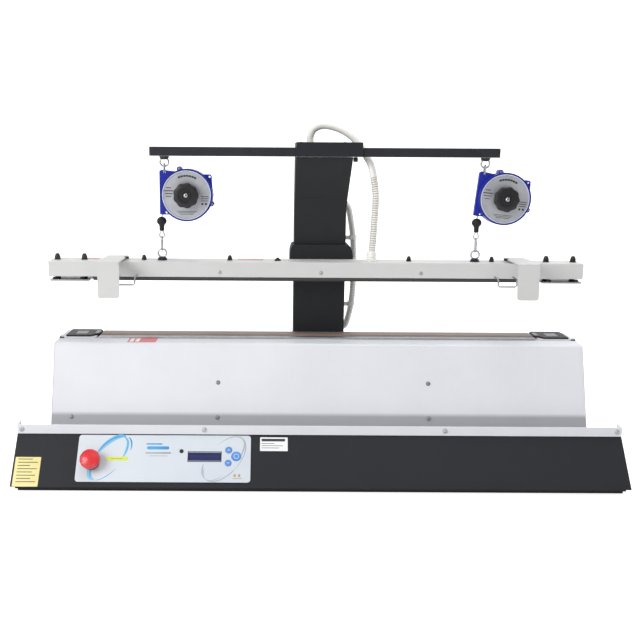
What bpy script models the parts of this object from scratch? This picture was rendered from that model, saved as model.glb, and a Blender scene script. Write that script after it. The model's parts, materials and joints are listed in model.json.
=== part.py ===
"""Impulse heat sealer for wide sheet goods, as an assembly of separate pieces.

Metres, +X to the right, +Y to the back, +Z up. The origin is on the bench under the middle of
the machine's bounding box. The machine stands open, with its upper jaw held up by the balancers.
"""

import math

import bpy
import bmesh
from mathutils import Matrix, Vector

# Driving dimensions
CONSOLE_WIDTH = 1.220
BODY_WIDTH = 1.100
DEPTH = 0.380
JAW_TRAVEL = 0.115
SHEET = 0.0015
GAP = 0.0003
CLEAR = 0.0005
PRESS_GAP = 0.0008

# Heights above the bench
BASE_BOTTOM = 0.006
COVER_BOTTOM = 0.012
CONSOLE_TOP = 0.0985
LIP_TOP = 0.118
BODY_TOP = 0.268
SEAL_FACE = 0.2742
BEAM_BOTTOM = 0.3995
BEAM_TOP = 0.432
CARRIAGE_BOTTOM = 0.3845
CARRIAGE_TOP = 0.4626
COLUMN_TOP = 0.6498
HEAD_TOP = 0.680
CONDUIT_CREST = 0.7165
COLUMN_BEND = 0.530

# Depths, from front to back
CONSOLE_FRONT = -DEPTH / 2
CONSOLE_TOP_FRONT = CONSOLE_FRONT + 0.069
CONSOLE_REAR = -0.0965
BODY_FRONT = -0.0915
BODY_TOP_FRONT = -0.036
BODY_REAR = 0.088
JAW_LINE = 0.045
SEAL_LINE = 0.043
BEAM_FRONT = 0.015
BEAM_REAR = 0.075
COLUMN_FRONT = 0.0895
COLUMN_REAR = 0.160
ARM_FRONT = 0.037
FOOT_REAR = DEPTH / 2

# Widths and places across the machine
SEAL_HALF = 0.462
BEAM_MIDDLE = -0.0055
BEAM_HALF = 0.5636
COLUMN_LEFT = -0.0498
COLUMN_RIGHT = 0.0622
COLUMN_HEAD_LEFT = -0.0490
COLUMN_HEAD_RIGHT = 0.0700
CARRIAGE_LEFT = -0.0594
CARRIAGE_RIGHT = 0.0776
HEAD_LEFT = -0.0485
HEAD_TAIL_RIGHT = 0.0735
HEAD_NOSE_RIGHT = 0.0895
CROSSBAR_LEFT = -0.3522
CROSSBAR_RIGHT = 0.3728
CROSSBAR_SIDE = 0.019
CLAMP_KNOB = 0.0755
GUARD_MIDDLE = -0.0033
GUARD_CENTRE = 0.428
GUARD_HALF = 0.0222
MAGNET_CENTRE = 0.508
STUD_PLACES = (0.4928, 0.5503)

# Each balancer: where its bar eye and its jaw eye are, and how far it leans
BALANCERS = {
    "left": {"bar_eye": -0.3245, "jaw_eye": -0.3320, "lean": 0.0},
    "right": {"bar_eye": 0.3468, "jaw_eye": 0.3350, "lean": math.radians(5.5)},
}
BAR_EYE_HEIGHT = 0.6385
JAW_EYE_HEIGHT = 0.4470
HANG_PIVOT_HEIGHT = 0.6305
EAR_HOLE_DROP = 0.0135
EAR_REACH = 0.0472
CASING_RADIUS = 0.0545
CASING_BORE = 0.0528
DRUM_RADIUS = 0.0505
DRUM_GROOVE = 0.0478
KNOB_REACH = 0.0257
KNOB_LOBE = 0.0010
EYE_RADIUS = 0.0088
EYE_WIRE = 0.0015

# Control panel
PANEL_RUN = Vector((0.0, CONSOLE_TOP_FRONT - CONSOLE_FRONT, CONSOLE_TOP - COVER_BOTTOM))
PANEL_UP = PANEL_RUN.normalized()
PANEL_OUT = Vector((0.0, -PANEL_UP.z, PANEL_UP.y))
PANEL_SHEET = 0.002
OVERLAY_THICK = 0.0008
OVERLAY_LEFT = -0.484
OVERLAY_RIGHT = -0.1385
OVERLAY_LOW = 0.011
OVERLAY_HIGH = 0.108
ESTOP = (-0.4544, 0.0515)
ESTOP_BORE = 0.0112
ESTOP_CAP_RADIUS = 0.020
DISPLAY = (-0.2303, 0.0635, 0.0645, 0.0166)
BUTTONS = {
    "button_up": (-0.1825, 0.0775, 0.0066),
    "button_down": (-0.1830, 0.0505, 0.0064),
    "button_enter": (-0.1672, 0.0645, 0.0096),
}


def clear_scene():
    for thing in list(bpy.data.objects):
        bpy.data.objects.remove(thing, do_unlink=True)


def linear(channel):
    return channel / 12.92 if channel <= 0.04045 else ((channel + 0.055) / 1.055) ** 2.4


def finish(name, red, green, blue, roughness, metallic):
    """A Principled material from 0-255 display colours."""
    made = bpy.data.materials.new(name)
    made.use_nodes = True
    shader = made.node_tree.nodes["Principled BSDF"]
    colour = [linear(value / 255) for value in (red, green, blue)]
    shader.inputs["Base Color"].default_value = (*colour, 1.0)
    shader.inputs["Roughness"].default_value = roughness
    shader.inputs["Metallic"].default_value = metallic
    return made


# Shapes: each function returns a new mesh in world coordinates


def mesh_from(points, faces):
    mesh = bpy.data.meshes.new("shape")
    mesh.from_pydata([tuple(point) for point in points], [], faces)
    shape = bmesh.new()
    shape.from_mesh(mesh)
    bmesh.ops.recalc_face_normals(shape, faces=shape.faces)
    shape.to_mesh(mesh)
    shape.free()
    return mesh


def place(axis, along, first, second):
    """A point from its coordinate along an axis and its two others in X, Y, Z order."""
    return {
        "X": Vector((along, first, second)),
        "Y": Vector((first, along, second)),
        "Z": Vector((first, second, along)),
    }[axis]


def prism(axis, start, end, outline):
    count = len(outline)
    points = [place(axis, level, *pair) for level in (start, end) for pair in outline]
    sides = [(i, (i + 1) % count, count + (i + 1) % count, count + i) for i in range(count)]
    caps = [tuple(range(count)), tuple(range(2 * count - 1, count - 1, -1))]
    return mesh_from(points, sides + caps)


def box(low, high):
    outline = [(low[0], low[1]), (high[0], low[1]), (high[0], high[1]), (low[0], high[1])]
    return prism("Z", low[2], high[2], outline)


def ring(radius, steps, centre=(0.0, 0.0), start=0.0):
    turn = 2 * math.pi / steps
    return [
        (centre[0] + radius * math.cos(start + turn * i), centre[1] + radius * math.sin(start + turn * i))
        for i in range(steps)
    ]


def rod(start, end, radius, steps=20):
    start = Vector(start)
    way = Vector(end) - start
    turn = Vector((0, 0, 1)).rotation_difference(way.normalized()).to_matrix().to_4x4()
    mesh = prism("Z", 0.0, way.length, ring(radius, steps))
    mesh.transform(Matrix.Translation(start) @ turn)
    return mesh


def turned(profile, steps=24):
    """A solid of revolution about +Z from (radius, height) points, bottom to top, closed on the axis."""
    points = [Vector((0, 0, profile[0][1]))]
    faces = []
    for radius, height in profile:
        points += [Vector((x, y, height)) for x, y in ring(radius, steps)]
    points.append(Vector((0, 0, profile[-1][1])))
    last = len(points) - 1
    for i in range(steps):
        after = (i + 1) % steps
        faces.append((0, 1 + after, 1 + i))
        faces.append((last, last - steps + i, last - steps + after))
        for row in range(len(profile) - 1):
            base = 1 + row * steps
            faces.append((base + i, base + after, base + steps + after, base + steps + i))
    return mesh_from(points, faces)


def torus(centre, axis, major, minor, steps=16, sides=8):
    points = []
    faces = []
    for spoke in ring(major, steps):
        out = Vector(spoke).normalized()
        for radial, lift in ring(minor, sides):
            flat = out * (major + radial)
            points.append(place(axis, lift, flat.x, flat.y) + Vector(centre))
    for i in range(steps):
        for j in range(sides):
            a = i * sides + j
            b = ((i + 1) % steps) * sides + j
            c = ((i + 1) % steps) * sides + (j + 1) % sides
            d = i * sides + (j + 1) % sides
            faces.append((a, b, c, d))
    return mesh_from(points, faces)


def smooth_path(points, parts):
    """Points along a Catmull-Rom curve through the given ones."""
    knots = [Vector(point) for point in points]
    knots = [2 * knots[0] - knots[1]] + knots + [2 * knots[-1] - knots[-2]]
    path = []
    for before, start, end, after in zip(knots, knots[1:], knots[2:], knots[3:]):
        for i in range(parts):
            t = i / parts
            bend = 2 * before - 5 * start + 4 * end - after
            twist = 3 * start - before - 3 * end + after
            path.append(0.5 * (2 * start + (end - before) * t + bend * t * t + twist * t**3))
    return path + [knots[-2]]


def tube(path, radius, sides=10, closed=False):
    """A round bar swept along a path, its frame carried along without twist."""
    path = [Vector(point) for point in path]
    count = len(path)
    faces = []
    points = []
    side = None
    for i, point in enumerate(path):
        after = path[(i + 1) % count] if closed or i < count - 1 else point
        before = path[i - 1] if closed or i > 0 else point
        way = (after - before).normalized()
        side = way.orthogonal() if side is None else side - way * side.dot(way)
        side.normalize()
        other = way.cross(side)
        points += [point + side * x + other * y for x, y in ring(radius, sides)]
    for i in range(count if closed else count - 1):
        for j in range(sides):
            nxt = (i + 1) % count * sides
            after = (j + 1) % sides
            faces.append((i * sides + j, i * sides + after, nxt + after, nxt + j))
    if not closed:
        faces.append(tuple(range(sides)))
        faces.append(tuple(range(count * sides - 1, (count - 1) * sides - 1, -1)))
    return mesh_from(points, faces)


def sheet_outline(path, thickness):
    """The closed outline of a bent sheet: a path of outer-face points, thickened to its left."""
    path = [Vector(point) for point in path]
    inner = []
    for i, point in enumerate(path):
        ways = []
        if i > 0:
            ways.append((point - path[i - 1]).normalized())
        if i < len(path) - 1:
            ways.append((path[i + 1] - point).normalized())
        sides = [Vector((-way.y, way.x)) for way in ways]
        mean = sum(sides, Vector((0.0, 0.0))).normalized()
        inner.append(point + mean * (thickness / mean.dot(sides[0])))
    return [tuple(point) for point in path] + [tuple(point) for point in reversed(inner)]


def round_rectangle(left, right, low, high, radius, parts=4):
    corners = [(right, high, 0), (left, high, 1), (left, low, 2), (right, low, 3)]
    outline = []
    for x, y, quarter in corners:
        centre_x = x - radius if x == right else x + radius
        centre_y = y - radius if y == high else y + radius
        for i in range(parts + 1):
            angle = (quarter + i / parts) * math.pi / 2
            outline.append((centre_x + radius * math.cos(angle), centre_y + radius * math.sin(angle)))
    return outline


def on_panel(across, up, out):
    """A world point from a place on the console's sloping panel."""
    foot = Vector((across, CONSOLE_FRONT, COVER_BOTTOM))
    return foot + PANEL_UP * up + PANEL_OUT * out


def to_panel(mesh):
    """Stands a mesh drawn flat in X and Y, with Z as its height, on the panel."""
    turn = Matrix((Vector((1, 0, 0)), PANEL_UP, PANEL_OUT)).transposed().to_4x4()
    mesh.transform(Matrix.Translation(on_panel(0, 0, 0)) @ turn)
    return mesh


def panel_rod(across, up, low, high, radius, steps=20):
    return rod(on_panel(across, up, low), on_panel(across, up, high), radius, steps)


# Assembly of shapes into named pieces


def helper_collection(name, meshes, pivot):
    group = bpy.data.collections.new(name)
    bpy.context.scene.collection.children.link(group)
    for number, mesh in enumerate(meshes):
        mesh.transform(Matrix.Translation(-pivot))
        helper = bpy.data.objects.new(f"{name}_{number}", mesh)
        helper.location = pivot
        helper.hide_render = True
        helper.display_type = "WIRE"
        group.objects.link(helper)
    return group


def combine(piece, label, operation, meshes, pivot):
    modifier = piece.modifiers.new(label, "BOOLEAN")
    modifier.operation = operation
    modifier.solver = "EXACT"
    modifier.operand_type = "COLLECTION"
    modifier.collection = helper_collection(f"{piece.name}_{label}", meshes, pivot)


def round_edges(piece, width):
    rounding = piece.modifiers.new("round", "BEVEL")
    rounding.width = width
    rounding.segments = 2
    rounding.limit_method = "ANGLE"
    rounding.angle_limit = math.radians(40)


def make(name, material, shapes, cuts=(), pivot=(0, 0, 0), bevel=0.0, round_cuts=False):
    """One named piece: the first shape, with the others joined on and the cuts taken away."""
    pivot = Vector(pivot)
    body = shapes[0]
    body.name = name
    body.transform(Matrix.Translation(-pivot))
    body.materials.append(material)
    piece = bpy.data.objects.new(name, body)
    piece.location = pivot
    bpy.context.scene.collection.objects.link(piece)
    body.shade_smooth()
    body.set_sharp_from_angle(angle=math.radians(30))
    if len(shapes) > 1:
        combine(piece, "join", "UNION", shapes[1:], pivot)
    if bevel and not round_cuts:
        round_edges(piece, bevel)
    if cuts:
        combine(piece, "cut", "DIFFERENCE", list(cuts), pivot)
    if bevel and round_cuts:
        round_edges(piece, bevel)
    return piece


def make_base(dark, rubber):
    console = CONSOLE_WIDTH / 2 - 0.008
    body = BODY_WIDTH / 2 - 0.004
    front = CONSOLE_FRONT + 0.008
    step = CONSOLE_REAR - 0.004
    rear = BODY_REAR - 0.003
    rim = COVER_BOTTOM - GAP

    def plan(inset):
        wide = console - inset
        narrow = body - inset
        return [
            (-wide, front + inset),
            (wide, front + inset),
            (wide, step - inset),
            (narrow, step - inset),
            (narrow, rear - inset),
            (-narrow, rear - inset),
            (-narrow, step - inset),
            (-wide, step - inset),
        ]

    pocket = prism("Z", BASE_BOTTOM + 0.002, rim + 0.005, plan(0.0025))
    make("base_tray", dark, [prism("Z", BASE_BOTTOM, rim, plan(0.0))], [pocket])
    for name, low, high in (("front", front + 0.004, front + 0.030), ("rear", rear - 0.040, rear - 0.014)):
        half = console - 0.004 if name == "front" else body - 0.010
        strip = box((-half, low, 0.0), (half, high, BASE_BOTTOM - GAP))
        make(f"foot_strip_{name}", rubber, [strip], bevel=0.001)


def make_console(dark):
    half = CONSOLE_WIDTH / 2
    outer = [
        (CONSOLE_FRONT, COVER_BOTTOM),
        (CONSOLE_TOP_FRONT, CONSOLE_TOP),
        (CONSOLE_REAR, CONSOLE_TOP),
        (CONSOLE_REAR, COVER_BOTTOM),
    ]
    slope = PANEL_UP.y / PANEL_UP.z
    set_back = PANEL_SHEET / PANEL_UP.z
    low = COVER_BOTTOM - 0.008
    high = CONSOLE_TOP - PANEL_SHEET
    inner = [
        (CONSOLE_FRONT + set_back + (low - COVER_BOTTOM) * slope, low),
        (CONSOLE_FRONT + set_back + (high - COVER_BOTTOM) * slope, high),
        (CONSOLE_REAR - SHEET, high),
        (CONSOLE_REAR - SHEET, low),
    ]
    display_x, display_up, display_wide, display_high = DISPLAY
    window = round_rectangle(
        display_x - display_wide / 2 - GAP,
        display_x + display_wide / 2 + GAP,
        display_up - display_high / 2 - GAP,
        display_up + display_high / 2 + GAP,
        0.001,
        1,
    )
    cuts = [
        prism("X", -half + PANEL_SHEET, half - PANEL_SHEET, inner),
        panel_rod(*ESTOP, -0.010, 0.010, ESTOP_BORE),
        to_panel(prism("Z", -0.010, 0.010, window)),
        box((-0.060, CONSOLE_REAR - 0.010, 0.030), (0.060, CONSOLE_REAR + 0.010, 0.070)),
    ]
    for across, up, radius in BUTTONS.values():
        cuts.append(panel_rod(across, up, -0.010, 0.010, radius + CLEAR, 16))
    make("console_cover", dark, [prism("X", -half, half, outer)], cuts, bevel=0.0006)


def make_catch_tray(light):
    half = CONSOLE_WIDTH / 2
    front = CONSOLE_TOP_FRONT - SHEET
    rear = CONSOLE_REAR + 0.0015
    floor = CONSOLE_TOP + GAP
    rear_lip = floor + 0.0095
    shell = box((-half, front, floor), (half, rear, LIP_TOP))
    cuts = [
        box((-half + SHEET, front + SHEET, floor + SHEET), (half - SHEET, rear - SHEET, LIP_TOP + 0.01)),
        box((-half - 0.01, rear - SHEET - 0.0005, rear_lip), (half + 0.01, rear + 0.01, LIP_TOP + 0.01)),
    ]
    make("catch_tray", light, [shell], cuts, bevel=0.0005)


def body_profile():
    return [
        (BODY_REAR, COVER_BOTTOM + 0.002),
        (BODY_REAR, BODY_TOP - 0.003),
        (BODY_REAR - 0.003, BODY_TOP),
        (BODY_TOP_FRONT + 0.003, BODY_TOP),
        (BODY_TOP_FRONT - 0.001, BODY_TOP - 0.003),
        (BODY_FRONT, 0.106),
        (BODY_FRONT, COVER_BOTTOM + 0.002),
    ]


def magnet_pocket(side):
    near = side * (MAGNET_CENTRE - 0.0210)
    far = side * (MAGNET_CENTRE + 0.0210)
    return box((min(near, far), 0.0150, 0.200), (max(near, far), 0.0725, 0.300))


def make_body_covers(light):
    half = BODY_WIDTH / 2 - SHEET - GAP
    low = COVER_BOTTOM + 0.002
    front_path = [
        (0.0225, BODY_TOP - 0.012),
        (0.0225, BODY_TOP),
        (BODY_TOP_FRONT + 0.003, BODY_TOP),
        (BODY_TOP_FRONT - 0.001, BODY_TOP - 0.003),
        (BODY_FRONT, 0.106),
        (BODY_FRONT, low),
    ]
    rear_path = [
        (BODY_REAR - 0.014, low),
        (BODY_REAR, low),
        (BODY_REAR, BODY_TOP - 0.003),
        (BODY_REAR - 0.003, BODY_TOP),
        (0.0640, BODY_TOP),
        (0.0640, BODY_TOP - 0.012),
    ]
    pockets = [magnet_pocket(-1), magnet_pocket(1)]
    wire_way = box((-0.060, BODY_FRONT - 0.010, 0.030), (0.060, BODY_FRONT + 0.010, 0.070))
    front = prism("X", -half, half, sheet_outline(front_path, SHEET))
    make("front_cover", light, [front], [*pockets, wire_way])

    inlet_hole = box((0.330, BODY_REAR - 0.020, 0.050), (0.378, BODY_REAR + 0.010, 0.110))
    vents = [
        box((x, BODY_REAR - 0.010, 0.180), (x + 0.004, BODY_REAR + 0.010, 0.230))
        for x in [side * (0.300 + 0.010 * i) for side in (-1, 1) for i in range(8)]
    ]
    pockets = [magnet_pocket(-1), magnet_pocket(1)]
    rear = prism("X", -half, half, sheet_outline(rear_path, SHEET))
    make("rear_cover", light, [rear], [*pockets, inlet_hole, *vents])

    for side, name in ((-1, "left"), (1, "right")):
        inner = side * (BODY_WIDTH / 2 - SHEET)
        outer = side * BODY_WIDTH / 2
        plate = prism("X", min(inner, outer), max(inner, outer), body_profile())
        make(f"end_cover_{name}", light, [plate], bevel=0.0004)


def make_sealing_strip(alloy, glass_cloth, nichrome, ptfe, brass):
    front = SEAL_LINE - 0.013
    rear = SEAL_LINE + 0.013
    bar_top = 0.2675
    bar = box((-SEAL_HALF, front, 0.228), (SEAL_HALF, rear, bar_top))
    legs = [
        box((x - 0.020, front + 0.004, BASE_BOTTOM + 0.002 + GAP), (x + 0.020, rear - 0.004, 0.235))
        for x in (-0.380, 0.0, 0.380)
    ]
    make("seal_bar", alloy, [bar, *legs])

    pad = box((-SEAL_HALF, front + 0.001, bar_top + GAP), (SEAL_HALF, rear - 0.001, 0.2700))
    make("insulation_strip", glass_cloth, [pad])

    ribbon_end = SEAL_HALF + 0.0049
    ribbon_top = 0.2707
    path = [
        (ribbon_end, 0.244),
        (ribbon_end, ribbon_top),
        (-ribbon_end, ribbon_top),
        (-ribbon_end, 0.244),
    ]
    ribbon = prism("Y", SEAL_LINE - 0.005, SEAL_LINE + 0.005, sheet_outline(path, 0.0004))
    make("heating_element", nichrome, [ribbon])

    wing = 0.0188
    cloth_path = [
        (SEAL_LINE + wing, 0.262),
        (SEAL_LINE + wing, 0.2722),
        (SEAL_LINE + 0.013, SEAL_FACE),
        (SEAL_LINE - 0.013, SEAL_FACE),
        (SEAL_LINE - wing, 0.2722),
        (SEAL_LINE - wing, 0.262),
    ]
    half = SEAL_HALF + 0.002
    make("ptfe_cover", ptfe, [prism("X", -half, half, sheet_outline(cloth_path, 0.0006))])

    inner = ribbon_end + GAP
    outer = inner + 0.0073
    for side, name in ((-1, "left"), (1, "right")):
        near = min(side * inner, side * outer)
        far = max(side * inner, side * outer)
        block = box((near, SEAL_LINE - 0.010, 0.236), (far, SEAL_LINE + 0.010, 0.256))
        pivot = ((near + far) / 2, SEAL_LINE, 0.246)
        make(f"element_clamp_{name}", brass, [block], pivot=pivot, bevel=0.0008)


def make_magnets(steel, copper, black):
    for side, name in ((-1, "left"), (1, "right")):
        centre = side * MAGNET_CENTRE

        def block(half_x, front, rear, low, high, middle=centre):
            return box((middle - half_x, front, low), (middle + half_x, rear, high))

        make(f"magnet_core_{name}", steel, [block(0.0125, 0.0285, 0.0585, 0.225, 0.2740)], bevel=0.0006)
        coil = block(0.0195, 0.0170, 0.0705, 0.230, 0.2660)
        make(f"magnet_coil_{name}", copper, [coil], [block(0.0130, 0.0280, 0.0590, 0.220, 0.280)])
        nose = centre - side * 0.0400
        outer = centre + side * 0.0285
        outline = [
            (outer, 0.0125),
            (outer, 0.0755),
            (centre - side * 0.0350, 0.0755),
            (nose, 0.0660),
            (nose, 0.0285),
            (centre - side * 0.0320, 0.0250),
            (centre - side * 0.0230, 0.0125),
        ]
        bezel = prism("Z", BODY_TOP + GAP, SEAL_FACE, outline)
        window = block(0.0130, 0.0280, 0.0590, 0.200, 0.300)
        make(f"magnet_frame_{name}", black, [bezel], [window], bevel=0.0005)


def make_internals(enamel, board_green, black):
    coil = turned([(0.050, 0.0), (0.055, 0.006), (0.055, 0.044), (0.050, 0.050)], 24)
    coil.transform(Matrix.Translation((-0.200, -0.030, BASE_BOTTOM + 0.0025)))
    bore = rod((-0.200, -0.030, 0.0), (-0.200, -0.030, 0.080), 0.018)
    make("transformer", enamel, [coil], [bore])

    plate = round_rectangle(-0.300, -0.150, 0.025, 0.095, 0.003, 1)
    make("control_board", board_green, [to_panel(prism("Z", -0.0300, -0.0284, plate))])

    rear = BODY_REAR + GAP
    module = box((0.3305, rear - 0.028, 0.0505), (0.3775, rear + 0.001, 0.1095))
    flange = box((0.326, rear, 0.046), (0.382, rear + 0.0022, 0.114))
    socket = box((0.3415, rear - 0.020, 0.053), (0.3665, rear + 0.010, 0.071))
    rocker_well = box((0.3435, rear - 0.016, 0.0815), (0.3645, rear + 0.010, 0.1045))
    make("mains_inlet", black, [module, flange], [socket, rocker_well])

    pivot = Vector((0.354, rear - 0.004, 0.093))
    rocker_outline = [(-0.0070, -0.0030), (-0.0070, 0.0030), (0.0020, 0.0100), (0.0060, 0.0092)]
    rocker_outline += [(0.0042, 0.0), (0.0060, -0.0092), (0.0020, -0.0100)]
    rocker = prism("X", -0.0095, 0.0095, rocker_outline)
    rocker.transform(Matrix.Translation(pivot) @ Matrix.Rotation(math.radians(10), 4, "X"))
    make("switch_rocker", black, [rocker], pivot=pivot, bevel=0.0004)


def column_shell():
    """The upright and its arm: straight sides below the bend, and above it a spread towards the head."""
    low = BASE_BOTTOM - 0.001
    side = [
        (COLUMN_FRONT, low),
        (COLUMN_FRONT, COLUMN_BEND),
        (COLUMN_FRONT, COLUMN_BEND + 0.030),
        (ARM_FRONT, COLUMN_TOP),
        (COLUMN_REAR, COLUMN_TOP),
        (COLUMN_REAR, COLUMN_BEND),
        (COLUMN_REAR, low),
    ]
    points = []
    for foot, head in ((COLUMN_LEFT, COLUMN_HEAD_LEFT), (COLUMN_RIGHT, COLUMN_HEAD_RIGHT)):
        for y, z in side:
            share = max(0.0, (z - COLUMN_BEND) / (COLUMN_TOP - COLUMN_BEND))
            points.append((foot + (head - foot) * share, y, z))
    count = len(side)
    faces = [(i, (i + 1) % count, count + (i + 1) % count, count + i) for i in range(count)]
    for first in (0, count):
        faces.append((first, first + 1, first + 5, first + 6))
        faces.append((first + 1, first + 2, first + 3, first + 4, first + 5))
    return mesh_from(points, faces)


def make_column(dark):
    foot = box((-0.100, COLUMN_FRONT + 0.0005, 0.0), (0.100, FOOT_REAR, BASE_BOTTOM))
    wall = 0.0025
    hollow = box(
        (COLUMN_LEFT + wall, COLUMN_FRONT + wall, -0.010),
        (COLUMN_RIGHT - wall, COLUMN_REAR - wall, 0.600),
    )
    make("column", dark, [column_shell(), foot], [hollow], bevel=0.0008, round_cuts=True)


def make_head(dark, grey, steel):
    low = COLUMN_TOP + GAP
    front = JAW_LINE - 0.0145
    bar_front = JAW_LINE - CROSSBAR_SIDE / 2
    bar_rear = JAW_LINE + CROSSBAR_SIDE / 2
    bar_top = low + CROSSBAR_SIDE
    wall = 0.0025
    rear = COLUMN_REAR + 0.002
    nose_rear = JAW_LINE + 0.0175

    def plan(inset):
        """The cap seen from above: a wide nose over the crossbar and a narrower tail behind it."""
        return [
            (HEAD_LEFT + inset, front + inset),
            (HEAD_NOSE_RIGHT - inset, front + inset),
            (HEAD_NOSE_RIGHT - inset, nose_rear - inset),
            (HEAD_TAIL_RIGHT - inset, nose_rear - inset),
            (HEAD_TAIL_RIGHT - inset, rear - inset),
            (HEAD_LEFT + inset, rear - inset),
        ]

    cap = prism("Z", low, HEAD_TOP, plan(0.0))
    inside = prism("Z", low - 0.01, HEAD_TOP - wall, plan(wall))
    notch = box((-0.080, bar_front - GAP, low - 0.01), (0.120, bar_rear + GAP, bar_top + GAP))
    make("head", dark, [cap], [inside, notch], bevel=0.0008)

    bar = box((CROSSBAR_LEFT, bar_front, low), (CROSSBAR_RIGHT, bar_rear, bar_top))
    bore = box(
        (CROSSBAR_LEFT - 0.01, bar_front + 0.002, low + 0.002),
        (CROSSBAR_RIGHT + 0.01, bar_rear - 0.002, bar_top - 0.002),
    )
    make("crossbar", grey, [bar], [bore], bevel=0.0010)

    profile = [(0.0034, -0.0010), (0.0044, 0.0), (0.0044, 0.0062), (0.0032, 0.0074), (0.0026, 0.0089)]
    knob = turned(profile, 12)
    knob.transform(Matrix.Translation((CLAMP_KNOB, JAW_LINE, low - 0.0092)))
    make("clamp_knob", dark, [knob], pivot=(CLAMP_KNOB, JAW_LINE, low - 0.006))

    for name, unit in BALANCERS.items():
        x = unit["bar_eye"]
        loop = torus((x, JAW_LINE, BAR_EYE_HEIGHT), "Y", EYE_RADIUS, EYE_WIRE)
        collar = rod((x, JAW_LINE, BAR_EYE_HEIGHT + EYE_RADIUS), (x, JAW_LINE, low - GAP), 0.0062)
        make(f"bar_eye_{name}", steel, [loop, collar])


def make_panel_controls(white, glass, black, red, blue):
    holes = []
    display_x, display_up, display_wide, display_high = DISPLAY
    left = display_x - display_wide / 2
    right = display_x + display_wide / 2
    low = display_up - display_high / 2
    high = display_up + display_high / 2
    window = round_rectangle(left - GAP, right + GAP, low - GAP, high + GAP, 0.001, 1)
    holes.append(to_panel(prism("Z", -0.005, 0.005, window)))
    holes.append(panel_rod(*ESTOP, -0.005, 0.005, ESTOP_BORE))
    for across, up, radius in BUTTONS.values():
        holes.append(panel_rod(across, up, -0.005, 0.005, radius + CLEAR, 16))
    sheet = round_rectangle(OVERLAY_LEFT, OVERLAY_RIGHT, OVERLAY_LOW, OVERLAY_HIGH, 0.006)
    overlay = to_panel(prism("Z", GAP, GAP + OVERLAY_THICK, sheet))
    make("control_overlay", white, [overlay], holes)

    pane = round_rectangle(left, right, low, high, 0.0008, 1)
    make("display", glass, [to_panel(prism("Z", -0.0035, 0.0007, pane))])

    for name, (across, up, radius) in BUTTONS.items():
        dome = turned([(radius, -0.0030), (radius, 0.0016), (radius - 0.0006, 0.0022)], 20)
        dome.transform(Matrix.Translation((across, up, 0.0)))
        make(name, blue, [to_panel(dome)], pivot=on_panel(across, up, 0.0))

    surface = GAP + OVERLAY_THICK + GAP
    barrel = panel_rod(*ESTOP, -0.034, surface + 0.001, 0.0108)
    collar = panel_rod(*ESTOP, surface, 0.0062, 0.0160)
    stem_bore = panel_rod(*ESTOP, -0.040, 0.020, 0.0060)
    make("estop_body", black, [barrel, collar], [stem_bore])

    stem = panel_rod(*ESTOP, -0.028, 0.0180, 0.0055)
    make("estop_stem", black, [stem], pivot=on_panel(*ESTOP, 0.0))

    radius = ESTOP_CAP_RADIUS
    profile = [(0.0100, 0.0122), (radius - 0.0012, 0.0132), (radius, 0.0150), (radius, 0.0215)]
    profile += [(radius - 0.0014, 0.0246), (radius - 0.0045, 0.0268), (radius - 0.0100, 0.0282)]
    cap = turned(profile, 24)
    cap.transform(Matrix.Translation((*ESTOP, 0.0)))
    socket = panel_rod(*ESTOP, 0.005, 0.0185, 0.0058)
    make("estop_cap", red, [to_panel(cap)], [socket], pivot=on_panel(*ESTOP, 0.0))


def make_conduits(white_plastic, grey_plastic):
    upper = smooth_path(
        [
            (0.1140, JAW_LINE, BEAM_TOP + 0.010),
            (0.1155, JAW_LINE, 0.462),
            (0.1180, JAW_LINE + 0.001, 0.508),
            (0.1200, JAW_LINE + 0.002, 0.560),
            (0.1180, JAW_LINE + 0.007, 0.591),
            (0.1110, JAW_LINE + 0.016, 0.6300),
            (0.1020, JAW_LINE + 0.028, 0.6500),
            (0.0890, JAW_LINE + 0.043, 0.6720),
            (0.0710, JAW_LINE + 0.053, 0.6940),
            (0.0465, JAW_LINE + 0.062, 0.7090),
            (0.0160, JAW_LINE + 0.069, CONDUIT_CREST),
            (-0.0060, JAW_LINE + 0.072, 0.7095),
            (-0.0140, JAW_LINE + 0.073, 0.6950),
            (-0.0150, JAW_LINE + 0.073, HEAD_TOP + CLEAR),
        ],
        2,
    )
    gland = turned([(0.0115, 0.0), (0.0115, 0.005), (0.0095, 0.006), (0.0088, 0.020)], 16)
    gland.transform(Matrix.Translation((0.114, JAW_LINE, BEAM_TOP + GAP)))
    make("conduit_upper", white_plastic, [tube(upper, 0.0075, 10), gland])

    face = COLUMN_REAR + 0.0065
    behind = COLUMN_REAR + 0.0110
    lower = smooth_path(
        [
            (0.0400, face, 0.5650),
            (0.0560, behind - 0.0010, 0.5580),
            (0.0690, behind, 0.5450),
            (0.0765, behind, 0.5290),
            (0.0858, behind, 0.4700),
            (0.0890, behind, 0.4000),
            (0.0858, behind, 0.3250),
            (0.0745, behind, 0.2730),
            (0.0620, behind, 0.2620),
            (0.0480, behind - 0.0010, 0.2500),
            (0.0340, face, 0.2360),
        ],
        2,
    )
    make("conduit_lower", grey_plastic, [tube(lower, 0.0058, 8)])


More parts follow.
